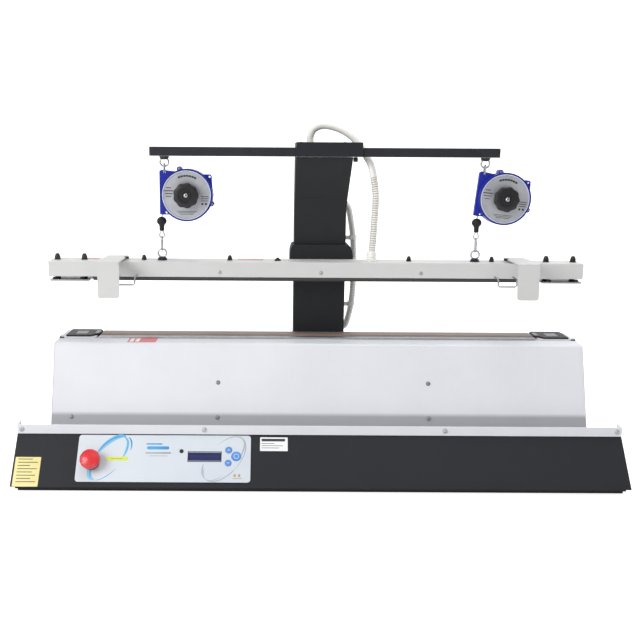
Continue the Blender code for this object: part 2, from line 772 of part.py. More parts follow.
def make_carriage(dark):
    rear = COLUMN_REAR - 0.010
    plan = [
        (CARRIAGE_LEFT, BEAM_REAR + GAP),
        (CARRIAGE_RIGHT, BEAM_REAR + GAP),
        (CARRIAGE_RIGHT, rear),
        (COLUMN_RIGHT + CLEAR, rear),
        (COLUMN_RIGHT + CLEAR, COLUMN_FRONT - CLEAR),
        (COLUMN_LEFT - CLEAR, COLUMN_FRONT - CLEAR),
        (COLUMN_LEFT - CLEAR, rear),
        (CARRIAGE_LEFT, rear),
    ]
    sleeve = prism("Z", CARRIAGE_BOTTOM, CARRIAGE_TOP, plan)
    down = 0.024
    cuts = []
    for edge, inward, column in ((CARRIAGE_LEFT, 1, COLUMN_LEFT), (CARRIAGE_RIGHT, -1, COLUMN_RIGHT)):
        across = 0.85 * abs(edge - column)
        beyond = edge - inward * 0.010
        outline = [(beyond, CARRIAGE_TOP - down), (beyond, CARRIAGE_TOP + 0.010)]
        outline.append((edge + inward * across, CARRIAGE_TOP + 0.010))
        for step in range(5, -1, -1):
            angle = step * math.pi / 10
            shoulder = edge + inward * across * (1 - math.cos(angle))
            outline.append((shoulder, CARRIAGE_TOP - down * (1 - math.sin(angle))))
        cuts.append(prism("Y", BEAM_REAR - 0.010, COLUMN_REAR, outline))
    make("carriage", dark, [sleeve], cuts, bevel=0.0010)


def make_beam(light, pad_black):
    left = BEAM_MIDDLE - BEAM_HALF
    right = BEAM_MIDDLE + BEAM_HALF
    wall = 0.003
    shell = box((left, BEAM_FRONT, BEAM_BOTTOM), (right, BEAM_REAR, BEAM_TOP))
    hollow = box(
        (left + wall, BEAM_FRONT + wall, BEAM_BOTTOM - 0.01),
        (right - wall, BEAM_REAR - wall, BEAM_TOP - wall),
    )
    studs = [BEAM_MIDDLE + side * x for side in (-1, 1) for x in STUD_PLACES]
    holes = [rod((x, JAW_LINE, BEAM_TOP - 0.01), (x, JAW_LINE, BEAM_TOP + 0.01), 0.0036, 12) for x in studs]
    make("beam", light, [shell], [hollow, *holes], bevel=0.0010)

    face = SEAL_FACE + JAW_TRAVEL + PRESS_GAP
    shoulder = face + 0.0042
    outline = [
        (SEAL_LINE - 0.014, face),
        (SEAL_LINE + 0.014, face),
        (SEAL_LINE + 0.014, shoulder),
        (BEAM_REAR - wall - 0.0008, shoulder),
        (BEAM_REAR - wall - 0.0008, BEAM_BOTTOM + 0.006),
        (BEAM_FRONT + wall + 0.0008, BEAM_BOTTOM + 0.006),
        (BEAM_FRONT + wall + 0.0008, shoulder),
        (SEAL_LINE - 0.014, shoulder),
    ]
    strip = prism("X", BEAM_MIDDLE - 0.472, BEAM_MIDDLE + 0.472, outline)
    make("silicone_strip", pad_black, [strip])


def make_armatures(steel):
    low = 0.3903
    high = 0.3937
    for side, name in ((-1, "left"), (1, "right")):
        ends = sorted(BEAM_MIDDLE + side * reach for reach in (0.478, 0.560))
        parts = [box((ends[0], BEAM_FRONT - 0.003, low), (ends[1], BEAM_REAR - 0.001, high))]
        for reach in STUD_PLACES:
            x = BEAM_MIDDLE + side * reach
            parts.append(rod((x, JAW_LINE, high - 0.001), (x, JAW_LINE, 0.4100), 0.0052, 12))
            parts.append(rod((x, JAW_LINE, 0.4090), (x, JAW_LINE, BEAM_TOP + 0.003), 0.0030, 12))
            nut = turned([(0.0066, 0.0), (0.0066, 0.0065), (0.0052, 0.0105), (0.0025, 0.0128)], 12)
            nut.transform(Matrix.Translation((x, JAW_LINE, BEAM_TOP + GAP)))
            parts.append(nut)
        pivot = (BEAM_MIDDLE + side * sum(STUD_PLACES) / 2, JAW_LINE, (low + high) / 2)
        make(f"armature_{name}", steel, parts, pivot=pivot)


def rounded_corner_cutter(edge, inward, low, corner):
    """What a sheet's lower corner loses: everything outside a quarter circle."""
    outside = edge - inward * 0.004
    outline = [
        (edge + inward * corner * (1 - math.sin(angle)), low + corner * (1 - math.cos(angle)))
        for angle in [step * math.pi / 8 for step in range(5)]
    ]
    outline += [(outside, low + corner), (outside, low - 0.004), (edge + inward * corner, low - 0.004)]
    return outline


def make_guards(light, steel):
    plate_top = BEAM_TOP + 0.006
    face = -0.0480
    low = 0.3643
    path = [(BEAM_REAR + 0.002, plate_top), (face, plate_top), (face, 0.4066), (face - 0.0040, low)]
    for side, name in ((-1, "left"), (1, "right")):
        centre = GUARD_MIDDLE + side * GUARD_CENTRE
        left = centre - GUARD_HALF
        right = centre + GUARD_HALF
        plate = prism("X", left, right, sheet_outline(path, 0.002))
        spacers = [
            rod((centre, y, BEAM_TOP + GAP), (centre, y, plate_top - 0.0010), 0.0050, 12)
            for y in (BEAM_FRONT + 0.013, BEAM_REAR - 0.011)
        ]
        cuts = [
            prism("Y", face - 0.022, face + 0.018, rounded_corner_cutter(edge, inward, low, 0.006))
            for edge, inward in ((left, 1), (right, -1))
        ]
        make(f"guard_{name}", light, [plate, *spacers], cuts)
        make(f"pull_handle_{name}", steel, [tube(pull_handle_path(side), 0.0016, 8)])


def pull_handle_path(side):
    """A U-shaped wire that stands out of the beam's front and hangs below its edge."""
    inner = BEAM_MIDDLE + side * 0.3770
    outer = BEAM_MIDDLE + side * 0.4155
    root = BEAM_FRONT - GAP
    height = 0.4030
    drop = 0.3871
    front = -0.0170
    near = [
        (inner, root, height),
        (inner, front + 0.005, height),
        (inner, front, height - 0.004),
        (inner, front, drop + 0.003),
        (inner + side * 0.003, front, drop),
    ]
    far = [(outer - side * 0.003, front, drop)]
    far += [(outer, y, z) for x, y, z in reversed(near[:-1])]
    return near + far


def turn_about(mesh, centre, angle):
    centre = Vector(centre)
    turn = Matrix.Rotation(angle, 4, "Y")
    mesh.transform(Matrix.Translation(centre) @ turn @ Matrix.Translation(-centre))
    return mesh


def hanging_chain(unit):
    """The snap hook with its swivel, sleeve and ball stop, from the jaw eye up to the balancer."""
    eye = Vector((unit["jaw_eye"], JAW_LINE, JAW_EYE_HEIGHT))
    wire = 0.0015
    half = 0.0048
    low = EYE_RADIUS - EYE_WIRE - wire - GAP
    upper = 0.0350
    turn = [i * math.pi / 6 for i in range(7)]
    arc = [(-half * math.cos(a), low + half - half * math.sin(a)) for a in turn]
    arc += [(half * math.cos(a), upper - half + half * math.sin(a)) for a in turn]
    loop = tube([eye + Vector((0, y, z)) for y, z in arc], wire, 6, closed=True)
    swivel = turned(
        [
            (0.0028, 0.0338),
            (0.0058, 0.0385),
            (0.0050, 0.0440),
            (0.0034, 0.0478),
            (0.0050, 0.0485),
            (0.0050, 0.0590),
        ],
        12,
    )
    swivel.transform(Matrix.Translation(eye))
    ball_centre = 0.0675
    ball_radius = 0.0103
    angles = [math.radians(a) for a in range(-70, 71, 28)]
    rim = [(ball_radius * math.cos(a), ball_centre + ball_radius * math.sin(a)) for a in angles]
    ball = turned(rim, 14)
    ball.transform(Matrix.Translation(eye))
    bore = rod(eye + Vector((0, 0, 0.050)), eye + Vector((0, 0, 0.085)), 0.0018, 10)
    return eye, [loop, swivel, ball], [bore]


def make_balancer(name, unit, blue, black, alloy, steel, plated):
    side = unit["bar_eye"]
    pivot = Vector((side, JAW_LINE, HANG_PIVOT_HEIGHT))
    centre = pivot + Vector((EAR_REACH, 0.0, -EAR_HOLE_DROP - EAR_REACH))
    back = 0.062
    front = 0.0278

    def at(x, z, y=JAW_LINE):
        return Vector((centre.x + x, y, centre.z + z))

    def turned_rod(x, z, low, high, radius, steps=16):
        return rod(at(x, z, low), at(x, z, high), radius, steps)

    casing = turned_rod(0, 0, front, back, CASING_RADIUS, 32)
    web = [
        (-0.0575, -0.0405),
        (-0.0500, -0.0415),
        (0.0, -0.0400),
        (0.0543, -0.0040),
        (0.0517, 0.0400),
        (0.0487, 0.0430),
        (0.0287, 0.0430),
        (-0.0150, 0.0480),
        (-0.0315, 0.0495),
        (-0.0535, 0.0520),
        (-0.0575, 0.0485),
    ]
    plate = prism("Y", JAW_LINE - 0.004, JAW_LINE + 0.004, [(centre.x + x, centre.z + z) for x, z in web])
    lugs = [
        turned_rod(-0.0150, 0.0540, 0.034, 0.056, 0.0052),
        turned_rod(0.0517, -0.0180, 0.034, 0.056, 0.0052),
    ]
    cuts = [
        turned_rod(0, 0, front - 0.01, back - 0.0025, CASING_BORE, 32),
        turned_rod(-EAR_REACH, EAR_REACH, 0.030, 0.060, 0.0031, 12),
        turned_rod(-0.0440, -0.0370, 0.020, 0.080, 0.0024, 12),
        turned_rod(0.0475, 0.0380, 0.030, 0.060, 0.0022, 12),
    ]
    slot_low = at(-DRUM_RADIUS - 0.0020, -0.070, JAW_LINE - 0.0030)
    cuts.append(box(slot_low, at(-DRUM_RADIUS + 0.0040, -0.020, JAW_LINE + 0.0030)))
    shaft = turned_rod(0, 0, 0.0240, back - 0.001, 0.0050)
    shapes = [casing, plate, *lugs]
    housing_parts = [turn_about(mesh, pivot, unit["lean"]) for mesh in shapes]
    housing_cuts = [turn_about(mesh, pivot, unit["lean"]) for mesh in cuts]
    housing = make(f"balancer_housing_{name}", blue, housing_parts, housing_cuts, pivot=pivot)
    combine(housing, "shaft", "UNION", [turn_about(shaft, pivot, unit["lean"])], pivot)

    turn = Matrix.Rotation(unit["lean"], 4, "Y")
    axle = pivot + turn.to_3x3() @ (centre - pivot)
    lay = Matrix.Rotation(math.radians(90), 4, "X")
    drum_profile = [
        (DRUM_RADIUS, -0.0085),
        (DRUM_RADIUS, -0.0035),
        (DRUM_GROOVE, -0.0015),
        (DRUM_GROOVE, 0.0015),
        (DRUM_RADIUS, 0.0035),
        (DRUM_RADIUS, 0.0085),
    ]
    drum = turned(drum_profile, 24)
    drum.transform(Matrix.Translation(axle) @ lay)
    drum_centre = Vector((axle.x, JAW_LINE, axle.z))
    bore = rod((axle.x, 0.020, axle.z), (axle.x, 0.080, axle.z), 0.0054, 16)
    make(f"balancer_drum_{name}", alloy, [drum], [bore], pivot=drum_centre)

    lobes = 9
    steps = 45
    outline = []
    for i in range(steps):
        angle = 2 * math.pi * i / steps
        reach = KNOB_REACH + KNOB_LOBE * math.cos(lobes * angle)
        outline.append((axle.x + reach * math.cos(angle), axle.z + reach * math.sin(angle)))
    knob = prism("Y", 0.0085, 0.0225, outline)
    make(f"balancer_knob_{name}", black, [knob], pivot=(axle.x, 0.0155, axle.z))

    eye, chain, cuts = hanging_chain(unit)
    make(f"snap_hook_{name}", plated, chain, cuts, pivot=eye + Vector((0, 0, EYE_RADIUS - EYE_WIRE)))

    loop = torus(eye, "Y", EYE_RADIUS, EYE_WIRE)
    foot = (eye.x, JAW_LINE, BEAM_TOP + GAP)
    collar = rod(foot, (eye.x, JAW_LINE, JAW_EYE_HEIGHT - EYE_RADIUS), 0.0070, 16)
    make(f"jaw_eye_{name}", steel, [loop, collar])


def build():
    clear_scene()
    dark = finish("console_black", 57, 59, 62, 0.55, 0.1)
    column_dark = finish("column_black", 50, 51, 53, 0.6, 0.1)
    light = finish("body_grey", 222, 225, 229, 0.4, 0.2)
    beam_grey = finish("beam_grey", 200, 200, 200, 0.4, 0.2)
    zinc = finish("zinc_steel", 165, 167, 170, 0.4, 0.9)
    plated = finish("bright_steel", 205, 205, 205, 0.25, 1.0)
    alloy = finish("alloy", 190, 192, 195, 0.4, 0.9)
    copper = finish("copper", 170, 95, 60, 0.4, 1.0)
    brass = finish("brass", 190, 155, 85, 0.35, 1.0)
    nichrome = finish("nichrome", 130, 125, 120, 0.4, 1.0)
    glass_cloth = finish("glass_cloth", 215, 205, 180, 0.9, 0.0)
    ptfe = finish("ptfe_brown", 128, 110, 98, 0.5, 0.0)
    rubber = finish("rubber_black", 30, 30, 30, 0.9, 0.0)
    enamel = finish("enamel_winding", 120, 60, 30, 0.5, 0.0)
    green = finish("board_green", 25, 80, 45, 0.5, 0.0)
    black = finish("black_plastic", 28, 28, 30, 0.5, 0.0)
    white = finish("overlay_white", 238, 241, 244, 0.35, 0.0)
    glass = finish("display_glass", 42, 42, 92, 0.1, 0.0)
    red = finish("stop_red", 222, 45, 50, 0.35, 0.0)
    button_blue = finish("button_blue", 60, 115, 200, 0.4, 0.0)
    blue = finish("housing_blue", 38, 48, 158, 0.35, 0.1)
    conduit_white = finish("conduit_white", 225, 223, 216, 0.5, 0.0)
    conduit_grey = finish("conduit_grey", 150, 152, 150, 0.55, 0.0)

    make_base(dark, rubber)
    make_console(dark)
    make_catch_tray(light)
    make_body_covers(light)
    make_sealing_strip(alloy, glass_cloth, nichrome, ptfe, brass)
    make_magnets(zinc, copper, black)
    make_internals(enamel, green, black)
    make_column(column_dark)
    make_head(dark, dark, plated)
    make_panel_controls(white, glass, black, red, button_blue)
    make_conduits(conduit_white, conduit_grey)
    make_carriage(column_dark)
    make_beam(beam_grey, rubber)
    make_armatures(zinc)
    make_guards(beam_grey, zinc)
    for name, unit in BALANCERS.items():
        make_balancer(name, unit, blue, black, alloy, plated, plated)


build()
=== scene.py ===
"""The looks of the impulse heat sealer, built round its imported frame. Metres, +X right, +Y back, +Z up."""

import json
import math

import bmesh
import bpy
from mathutils import Matrix, Vector


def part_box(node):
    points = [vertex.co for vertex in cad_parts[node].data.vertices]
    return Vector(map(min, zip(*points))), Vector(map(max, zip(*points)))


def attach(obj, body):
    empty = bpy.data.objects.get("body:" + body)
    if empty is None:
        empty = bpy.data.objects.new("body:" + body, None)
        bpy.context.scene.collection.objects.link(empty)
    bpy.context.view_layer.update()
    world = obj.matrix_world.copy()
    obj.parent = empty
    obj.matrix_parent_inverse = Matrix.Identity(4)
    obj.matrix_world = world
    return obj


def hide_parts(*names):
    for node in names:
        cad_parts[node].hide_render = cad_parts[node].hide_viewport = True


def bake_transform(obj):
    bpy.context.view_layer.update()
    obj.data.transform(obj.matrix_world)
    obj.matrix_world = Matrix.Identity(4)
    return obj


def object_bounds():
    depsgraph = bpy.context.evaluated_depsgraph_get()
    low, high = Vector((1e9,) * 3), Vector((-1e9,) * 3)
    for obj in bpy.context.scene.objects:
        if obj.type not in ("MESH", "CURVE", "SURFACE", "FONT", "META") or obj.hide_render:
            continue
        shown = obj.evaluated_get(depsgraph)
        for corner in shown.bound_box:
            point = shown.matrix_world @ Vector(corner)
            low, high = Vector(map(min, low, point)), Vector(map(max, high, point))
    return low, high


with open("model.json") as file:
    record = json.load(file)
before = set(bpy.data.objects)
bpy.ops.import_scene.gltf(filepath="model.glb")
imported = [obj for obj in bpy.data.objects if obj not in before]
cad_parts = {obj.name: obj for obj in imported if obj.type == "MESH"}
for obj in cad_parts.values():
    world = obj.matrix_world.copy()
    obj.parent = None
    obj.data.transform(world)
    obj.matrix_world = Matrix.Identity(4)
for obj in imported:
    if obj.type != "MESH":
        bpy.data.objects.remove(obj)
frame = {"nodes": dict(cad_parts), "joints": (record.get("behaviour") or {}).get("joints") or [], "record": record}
cad_low, cad_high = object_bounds()
box = {node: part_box(node) for node in frame["nodes"]}
joints = {joint["name"]: joint for joint in frame["joints"]}

UP = Vector((0, 0, 1))
FRONT = Vector((0, -1, 0))
BACK = Vector((0, 1, 0))
RIGHT = Vector((1, 0, 0))
THIN = 0.0003
GROOVE_SHADE = "groove"
SIDES = ("left", "right")

# The jaw's eyes stand on this plane, and so does everything that hangs from the crossbar
JAW_LINE = joints["balancer_swing_left"]["pos_m"][1]
BEAM_TOP = box["beam"][1].z
BODY_TOP = box["front_cover"][1].z
LIP_TOP = box["catch_tray"][1].z


# ---------------------------------------------------------------- materials


def display(red, green, blue):
    """A linear colour from 0-255 display values."""
    values = [value / 255 for value in (red, green, blue)]
    return tuple(v / 12.92 if v <= 0.04045 else ((v + 0.055) / 1.055) ** 2.4 for v in values) + (1.0,)


class Look:
    """A node material under construction. Inputs take a number, a colour or another node's output."""

    def __init__(self, name, roughness=0.5, metallic=0.0):
        self.material = bpy.data.materials.new(name)
        self.material.use_nodes = True
        self.tree = self.material.node_tree
        self.shader = self.tree.nodes["Principled BSDF"]
        self.place = self.node("ShaderNodeTexCoord").outputs["Object"]
        self.set(Roughness=roughness, Metallic=metallic)

    def put(self, socket, value):
        if isinstance(value, bpy.types.NodeSocket):
            self.tree.links.new(value, socket)
        else:
            socket.default_value = value

    def set(self, **values):
        for name, value in values.items():
            self.put(self.shader.inputs[name.replace("_", " ")], value)
        return self

    def node(self, kind, inputs=None, **settings):
        made = self.tree.nodes.new(kind)
        for name, value in settings.items():
            setattr(made, name, value)
        for name, value in (inputs or {}).items():
            self.put(made.inputs[name], value)
        return made

    def stretched(self, scale):
        return self.node("ShaderNodeMapping", {"Vector": self.place, "Scale": scale}).outputs["Vector"]

    def noise(self, size, detail=3.0, rough=0.55, stretch=(1, 1, 1)):
        """Cloudy noise about 0.5, whose features are about size metres across."""
        inputs = {"Vector": self.stretched(stretch), "Scale": 1 / size, "Detail": detail, "Roughness": rough}
        return self.node("ShaderNodeTexNoise", inputs).outputs["Fac"]

    def cells(self, size, feature="F1"):
        inputs = {"Vector": self.place, "Scale": 1 / size}
        return self.node("ShaderNodeTexVoronoi", inputs, feature=feature).outputs["Distance"]

    def stripes(self, axis, pitch, distortion=0.0):
        """A wave from 0 to 1 along an axis, one crest every pitch metres."""
        inputs = {"Vector": self.place, "Scale": 2 * math.pi / 20 / pitch, "Distortion": distortion}
        wave = self.node("ShaderNodeTexWave", inputs, bands_direction=axis)
        return wave.outputs["Fac"]

    def sum(self, operation, first, second=0.0):
        made = self.node("ShaderNodeMath", operation=operation)
        self.put(made.inputs[0], first)
        self.put(made.inputs[1], second)
        return made.outputs[0]

    def fit(self, value, low, high, new_low=0.0, new_high=1.0):
        names = ("Value", "From Min", "From Max", "To Min", "To Max")
        inputs = dict(zip(names, (value, low, high, new_low, new_high)))
        return self.node("ShaderNodeMapRange", inputs).outputs["Result"]

    def mix(self, share, first, second):
        made = self.node("ShaderNodeMix", data_type="RGBA")
        self.put(made.inputs[0], share)
        self.put(made.inputs[6], first)
        self.put(made.inputs[7], second)
        return made.outputs[2]

    def part_of(self, vector, axis):
        return self.node("ShaderNodeSeparateXYZ", {"Vector": vector}).outputs[axis]

    def edges(self, radius, sharpness=0.06):
        """1 where the surface turns a corner within the radius, else 0."""
        soft = self.node("ShaderNodeBevel", {"Radius": radius}, samples=4).outputs["Normal"]
        true = self.node("ShaderNodeNewGeometry").outputs["Normal"]
        dot = self.node("ShaderNodeVectorMath", operation="DOT_PRODUCT")
        self.put(dot.inputs[0], soft)
        self.put(dot.inputs[1], true)
        return self.fit(dot.outputs["Value"], 1.0 - 0.002, 1.0 - sharpness)

    def relief(self, height, depth, strength=1.0, soft_edge=0.0):
        """Bump from a 0-1 height, depth metres deep, over edges rounded to soft_edge."""
        inputs = {"Height": height, "Distance": depth, "Strength": strength}
        if soft_edge:
            rounded = self.node("ShaderNodeBevel", {"Radius": soft_edge}, samples=4)
            inputs["Normal"] = rounded.outputs["Normal"]
        return self.set(Normal=self.node("ShaderNodeBump", inputs).outputs["Normal"])


def paint(
    name, colour, roughness, grain, depth, worn=None, patch=0.04, sheen_way=(1, 1, 1), gloss=0.5, band=None
):
    """Sprayed or powder-coated metal: orange peel, slow changes of tone, a trace of dust and rubbed edges. Paler
    streaks along sheen_way are partly the paint's own grain and partly a painted sheen. A band, when given, is a
    painted shadow: below it the tone darkens towards grey.
    """
    look = Look(name, roughness)
    cloud = look.noise(0.16, 4.0, 0.6)
    fine = look.noise(0.012, 3.0, 0.6, sheen_way)
    dark = tuple(channel * (1 - patch) for channel in colour[:3]) + (1.0,)
    pale = tuple(min(1.0, channel * (1 + patch)) for channel in colour[:3]) + (1.0,)
    tone = look.mix(look.fit(cloud, 0.3, 0.7), dark, pale)
    # Paler streaks along sheen_way: partly the paint's own grain, partly a painted sheen. On the crossbar they
    # stand for a painted reflection.
    tone = look.mix(look.fit(fine, 0.35, 0.75, 0.0, 0.35), tone, pale)
    speck = look.fit(look.cells(0.004), 0.0, 0.1, 0.35, 0.0)
    dusty = look.sum("MULTIPLY", speck, look.fit(look.noise(0.05), 0.55, 0.75))
    tone = look.mix(dusty, tone, display(176, 172, 164))
    if worn:
        rubbed = look.sum("MULTIPLY", look.edges(0.0009), look.fit(look.noise(0.018, 5.0), 0.42, 0.62))
        tone = look.mix(look.sum("MULTIPLY", rubbed, 0.55), tone, worn)
    # Painted shadow: below the band's heights the tone is darkened towards grey, for the shade low on the front
    # cover just above the tray.
    if band:
        height = look.part_of(look.place, "Z")
        shade = look.fit(height, *band, 0.62, 0.0)
        tone = look.mix(shade, tone, display(120, 121, 124))
    look.set(Base_Color=tone, Specular_IOR_Level=gloss)
    look.set(Roughness=look.fit(look.noise(0.03, 4.0), 0.3, 0.7, roughness - 0.07, roughness + 0.07))
    peel = look.noise(grain, 2.0, 0.5)
    return look.relief(peel, depth, 1.0, 0.0006).material


def plated(name, colour, roughness, streak=(1, 1, 1), spot=0.004, stain=0.12):
    """Bare or plated metal with drawing marks along a direction and faint cloudy tarnish."""
    look = Look(name, roughness, 1.0)
    dull = tuple(channel * (1 - stain * 2.2) for channel in colour[:3]) + (1.0,)
    cloud = look.fit(look.noise(0.02, 5.0, 0.65), 0.35, 0.75)
    look.set(Base_Color=look.mix(cloud, colour, dull))
    marks = look.noise(spot, 3.0, 0.6, streak)
    look.set(Roughness=look.fit(marks, 0.3, 0.7, roughness - 0.08, roughness + 0.12))
    return look.relief(marks, 0.00004, 1.0, 0.0004).material


def moulded(name, colour, roughness, grain=0.0012, depth=0.00004, coat=0.0, fade=0.05):
    """Moulded plastic or rubber: fine spark-eroded grain, slight change of tone, soft edges."""
    look = Look(name, roughness)
    pale = tuple(min(1.0, channel * (1 + fade) + fade * 0.02) for channel in colour[:3]) + (1.0,)
    look.set(Base_Color=look.mix(look.fit(look.noise(0.02, 4.0), 0.3, 0.7), colour, pale), Coat_Weight=coat)
    look.set(Roughness=look.fit(look.noise(0.006, 3.0), 0.3, 0.7, roughness - 0.05, roughness + 0.06))
    return look.relief(look.noise(grain, 2.0), depth, 1.0, 0.0004).material


def woven(name, colour, shade, pitch, roughness, depth, wear=None, coat=0.0):
    """Cloth of crossing threads along X and Y."""
    look = Look(name, roughness)
    along = look.stripes("X", pitch, 0.2)
    across = look.stripes("Y", pitch, 0.2)
    over = look.fit(look.sum("ADD", along, across), 0.2, 1.6)
    tone = look.mix(over, shade, colour)
    streaks = look.fit(look.noise(0.004, 4.0, 0.6, (0.04, 1, 1)), 0.35, 0.7, 0.0, 0.5)
    tone = look.mix(streaks, tone, wear or shade)
    blotch = look.fit(look.noise(0.07, 4.0), 0.4, 0.8, 0.0, 0.45)
    look.set(Base_Color=look.mix(blotch, tone, shade), Coat_Weight=coat, Coat_Roughness=0.3)
    look.set(Roughness=look.fit(streaks, 0.0, 0.5, roughness, roughness + 0.12))
    return look.relief(over, depth).material


def wound(name, colour, roughness, axis, pitch):
    """Enamelled wire in close turns."""
    look = Look(name, roughness, 0.85)
    turns = look.stripes(axis, pitch)
    dark = tuple(channel * 0.35 for channel in colour[:3]) + (1.0,)
    tone = look.mix(look.fit(turns, 0.0, 0.6), dark, colour)
    look.set(Base_Color=look.mix(look.fit(look.noise(0.01), 0.45, 0.8, 0.0, 0.4), tone, dark))
    return look.relief(turns, pitch / 3).material


def circuit_board(name):
    look = Look(name, 0.35)
    grid = look.node("ShaderNodeTexBrick", {"Vector": look.place, "Scale": 60.0, "Mortar Size": 0.06})
    tracks = look.sum("MULTIPLY", grid.outputs["Fac"], look.fit(look.noise(0.02), 0.45, 0.55))
    look.set(Base_Color=look.mix(tracks, display(22, 74, 42), display(60, 120, 70)), Coat_Weight=0.5)
    return look.relief(tracks, 0.00005).material


def display_glass(name):
    """A blue character display: two rows of empty cells behind a clear window."""
    look = Look(name, 0.12)
    low, high = box["display"]
    cell_wide = (high.x - low.x) / 18
    across = look.fit(look.stripes("X", cell_wide), 0.06, 0.16)
    rows = look.fit(look.stripes("Z", (high.z - low.z) / 2.6), 0.06, 0.16)
    cells = look.sum("MULTIPLY", across, rows)
    tone = look.mix(cells, display(30, 30, 74), display(46, 46, 98))
    glow = look.fit(look.noise(0.03), 0.3, 0.7, 0.0, 0.3)
    look.set(Base_Color=look.mix(glow, tone, display(58, 58, 112)), Coat_Weight=0.8, Coat_Roughness=0.05)
    return look.relief(look.noise(0.002), 0.00001, 0.6, 0.0005).material


def printed(name, colour, second, roughness=0.35, pitch=0.0006):
    """Printed film: a flat tint with a fine halftone and a slow drift towards a second tint."""
    look = Look(name, roughness)
    drift = look.fit(look.noise(0.05, 2.0), 0.35, 0.7)
    tone = look.mix(drift, colour, second)
    dots = look.fit(look.cells(pitch), 0.2, 0.6, 0.0, 0.12)
    look.set(Base_Color=look.mix(dots, tone, second), Coat_Weight=0.3, Coat_Roughness=0.25)
    return look.relief(look.noise(0.0015, 2.0), 0.00002, 0.8).material


def overlay_film(name):
    """The panel's pale film: cool white, a touch bluer to the right, with a matt hard-coat."""
    look = Look(name, 0.32)
    low, high = box["control_overlay"]
    across = look.fit(look.part_of(look.place, "X"), low.x, high.x)
    tone = look.mix(across, display(214, 221, 228), display(206, 213, 222))
    cloud = look.fit(look.noise(0.06), 0.35, 0.7, 0.0, 0.3)
    look.set(Base_Color=look.mix(cloud, tone, display(222, 227, 232)), Coat_Weight=0.25, Coat_Roughness=0.3)
    return look.relief(look.noise(0.0009, 2.0), 0.000015, 0.8, 0.0005).material


def spun_disc(name, colour):
    """Sheet aluminium turned on a lathe, whose sheen runs in rings: only a cloudy tone and fine marks in the
    roughness are drawn here.
    """
    look = Look(name, 0.42, 0.55)
    marks = look.noise(0.0016, 4.0, 0.7)
    dull = tuple(channel * 0.84 for channel in colour[:3]) + (1.0,)
    look.set(Base_Color=look.mix(look.fit(look.noise(0.018, 5.0), 0.35, 0.7), colour, dull))
    look.set(Roughness=look.fit(marks, 0.3, 0.7, 0.34, 0.52))
    return look.relief(marks, 0.00002).material


def ribbed(name, crest, groove):
    """Corrugated plastic hose: pale ribs with a cloudy tone, and painted shade in the grooves, darker where the
    mesh says they are deeper.
    """
    look = Look(name, 0.46)
    depth = look.node("ShaderNodeAttribute", attribute_name=GROOVE_SHADE).outputs["Fac"]
    cloud = look.fit(look.noise(0.02, 4.0), 0.3, 0.75, 0.0, 0.25)
    # The groove colour, laid on by depth, is painted shade in the grooves.
    look.set(Base_Color=look.mix(depth, look.mix(cloud, crest, groove), groove), Coat_Weight=0.1)
    return look.relief(look.noise(0.002, 2.0), 0.00004, 1.0, 0.0004).material


# The body's light grey paint; a band, when given, adds a painted shadow low down.
def body_paint(name, band=None):
    return paint(
        name, display(221, 223, 228), 0.42, 0.0011, 0.00006, display(240, 241, 242), 0.035,
        (3.0, 3.0, 0.15), 0.4, band,
    )


BLACK = display(26, 26, 28)

finishes = {
    "body_grey": body_paint("body_grey"),
    "beam_grey": paint(
        "beam_grey", display(206, 206, 205), 0.4, 0.0011, 0.00005, display(228, 228, 228), 0.03, (0.2, 3, 3)
    ),
    "console_black": paint(
        "console_black", display(40, 41, 45), 0.5, 0.0007, 0.00009, display(62, 63, 66), gloss=0.22
    ),
    "column_black": paint(
        "column_black", display(41, 42, 45), 0.55, 0.0007, 0.0001, display(60, 61, 64), gloss=0.2
    ),
    # The crossbar's streaks along X are a painted reflection.
    "crossbar_black": paint(
        "crossbar_black", display(40, 41, 46), 0.36, 0.001, 0.00004,
        display(120, 121, 124), 0.1, (0.1, 4, 4), 0.4
    ),
    "zinc_steel": plated("zinc_steel", display(168, 169, 173), 0.34, (0.2, 3, 3)),
    "bright_steel": plated("bright_steel", display(176, 177, 180), 0.24, (3, 3, 0.4), 0.002, 0.06),
    "alloy": plated("alloy", display(200, 202, 206), 0.36, (0.1, 4, 4), 0.002),
    "copper": wound("copper", display(178, 100, 60), 0.35, "Z", 0.0009),
    "brass": plated("brass", display(196, 160, 88), 0.3, (1, 1, 1), 0.002),
    "nichrome": plated("nichrome", display(132, 126, 120), 0.38, (0.05, 6, 6), 0.001, 0.2),
    "glass_cloth": woven("glass_cloth", display(222, 212, 188), display(178, 166, 140), 0.0009, 0.85, 0.0001),
    "ptfe_brown": woven(
        "ptfe_brown", display(142, 122, 110), display(104, 86, 76), 0.0012, 0.38, 0.00006,
        display(168, 150, 140), 0.15,
    ),
    "rubber_black": moulded("rubber_black", display(28, 28, 29), 0.8, 0.001, 0.0001),
    "silicone": moulded("silicone", display(62, 62, 60), 0.62, 0.0014, 0.00008, 0.0, 0.12),
    "enamel_winding": wound("enamel_winding", display(132, 68, 34), 0.4, "Z", 0.0012),
    "board_green": circuit_board("board_green"),
    "black_plastic": moulded("black_plastic", BLACK, 0.42, 0.0009, 0.00005),
    "overlay_white": overlay_film("overlay_white"),
    "display_glass": display_glass("display_glass"),
    "stop_red": moulded("stop_red", display(212, 42, 48), 0.34, 0.0016, 0.00002, 0.3, 0.1),
    "button_blue": moulded("button_blue", display(88, 142, 214), 0.34, 0.0008, 0.00003, 0.2, 0.1),
    "housing_blue": paint(
        "housing_blue", display(34, 46, 160), 0.34, 0.0016, 0.00007, display(84, 96, 176), 0.1, gloss=0.35
    ),
    # The second colour of each hose is the painted shade of its grooves.
    "conduit_white": ribbed("conduit_white", display(248, 247, 242), display(168, 163, 150)),
    "conduit_grey": ribbed("conduit_grey", display(246, 246, 242), display(196, 196, 192)),
}

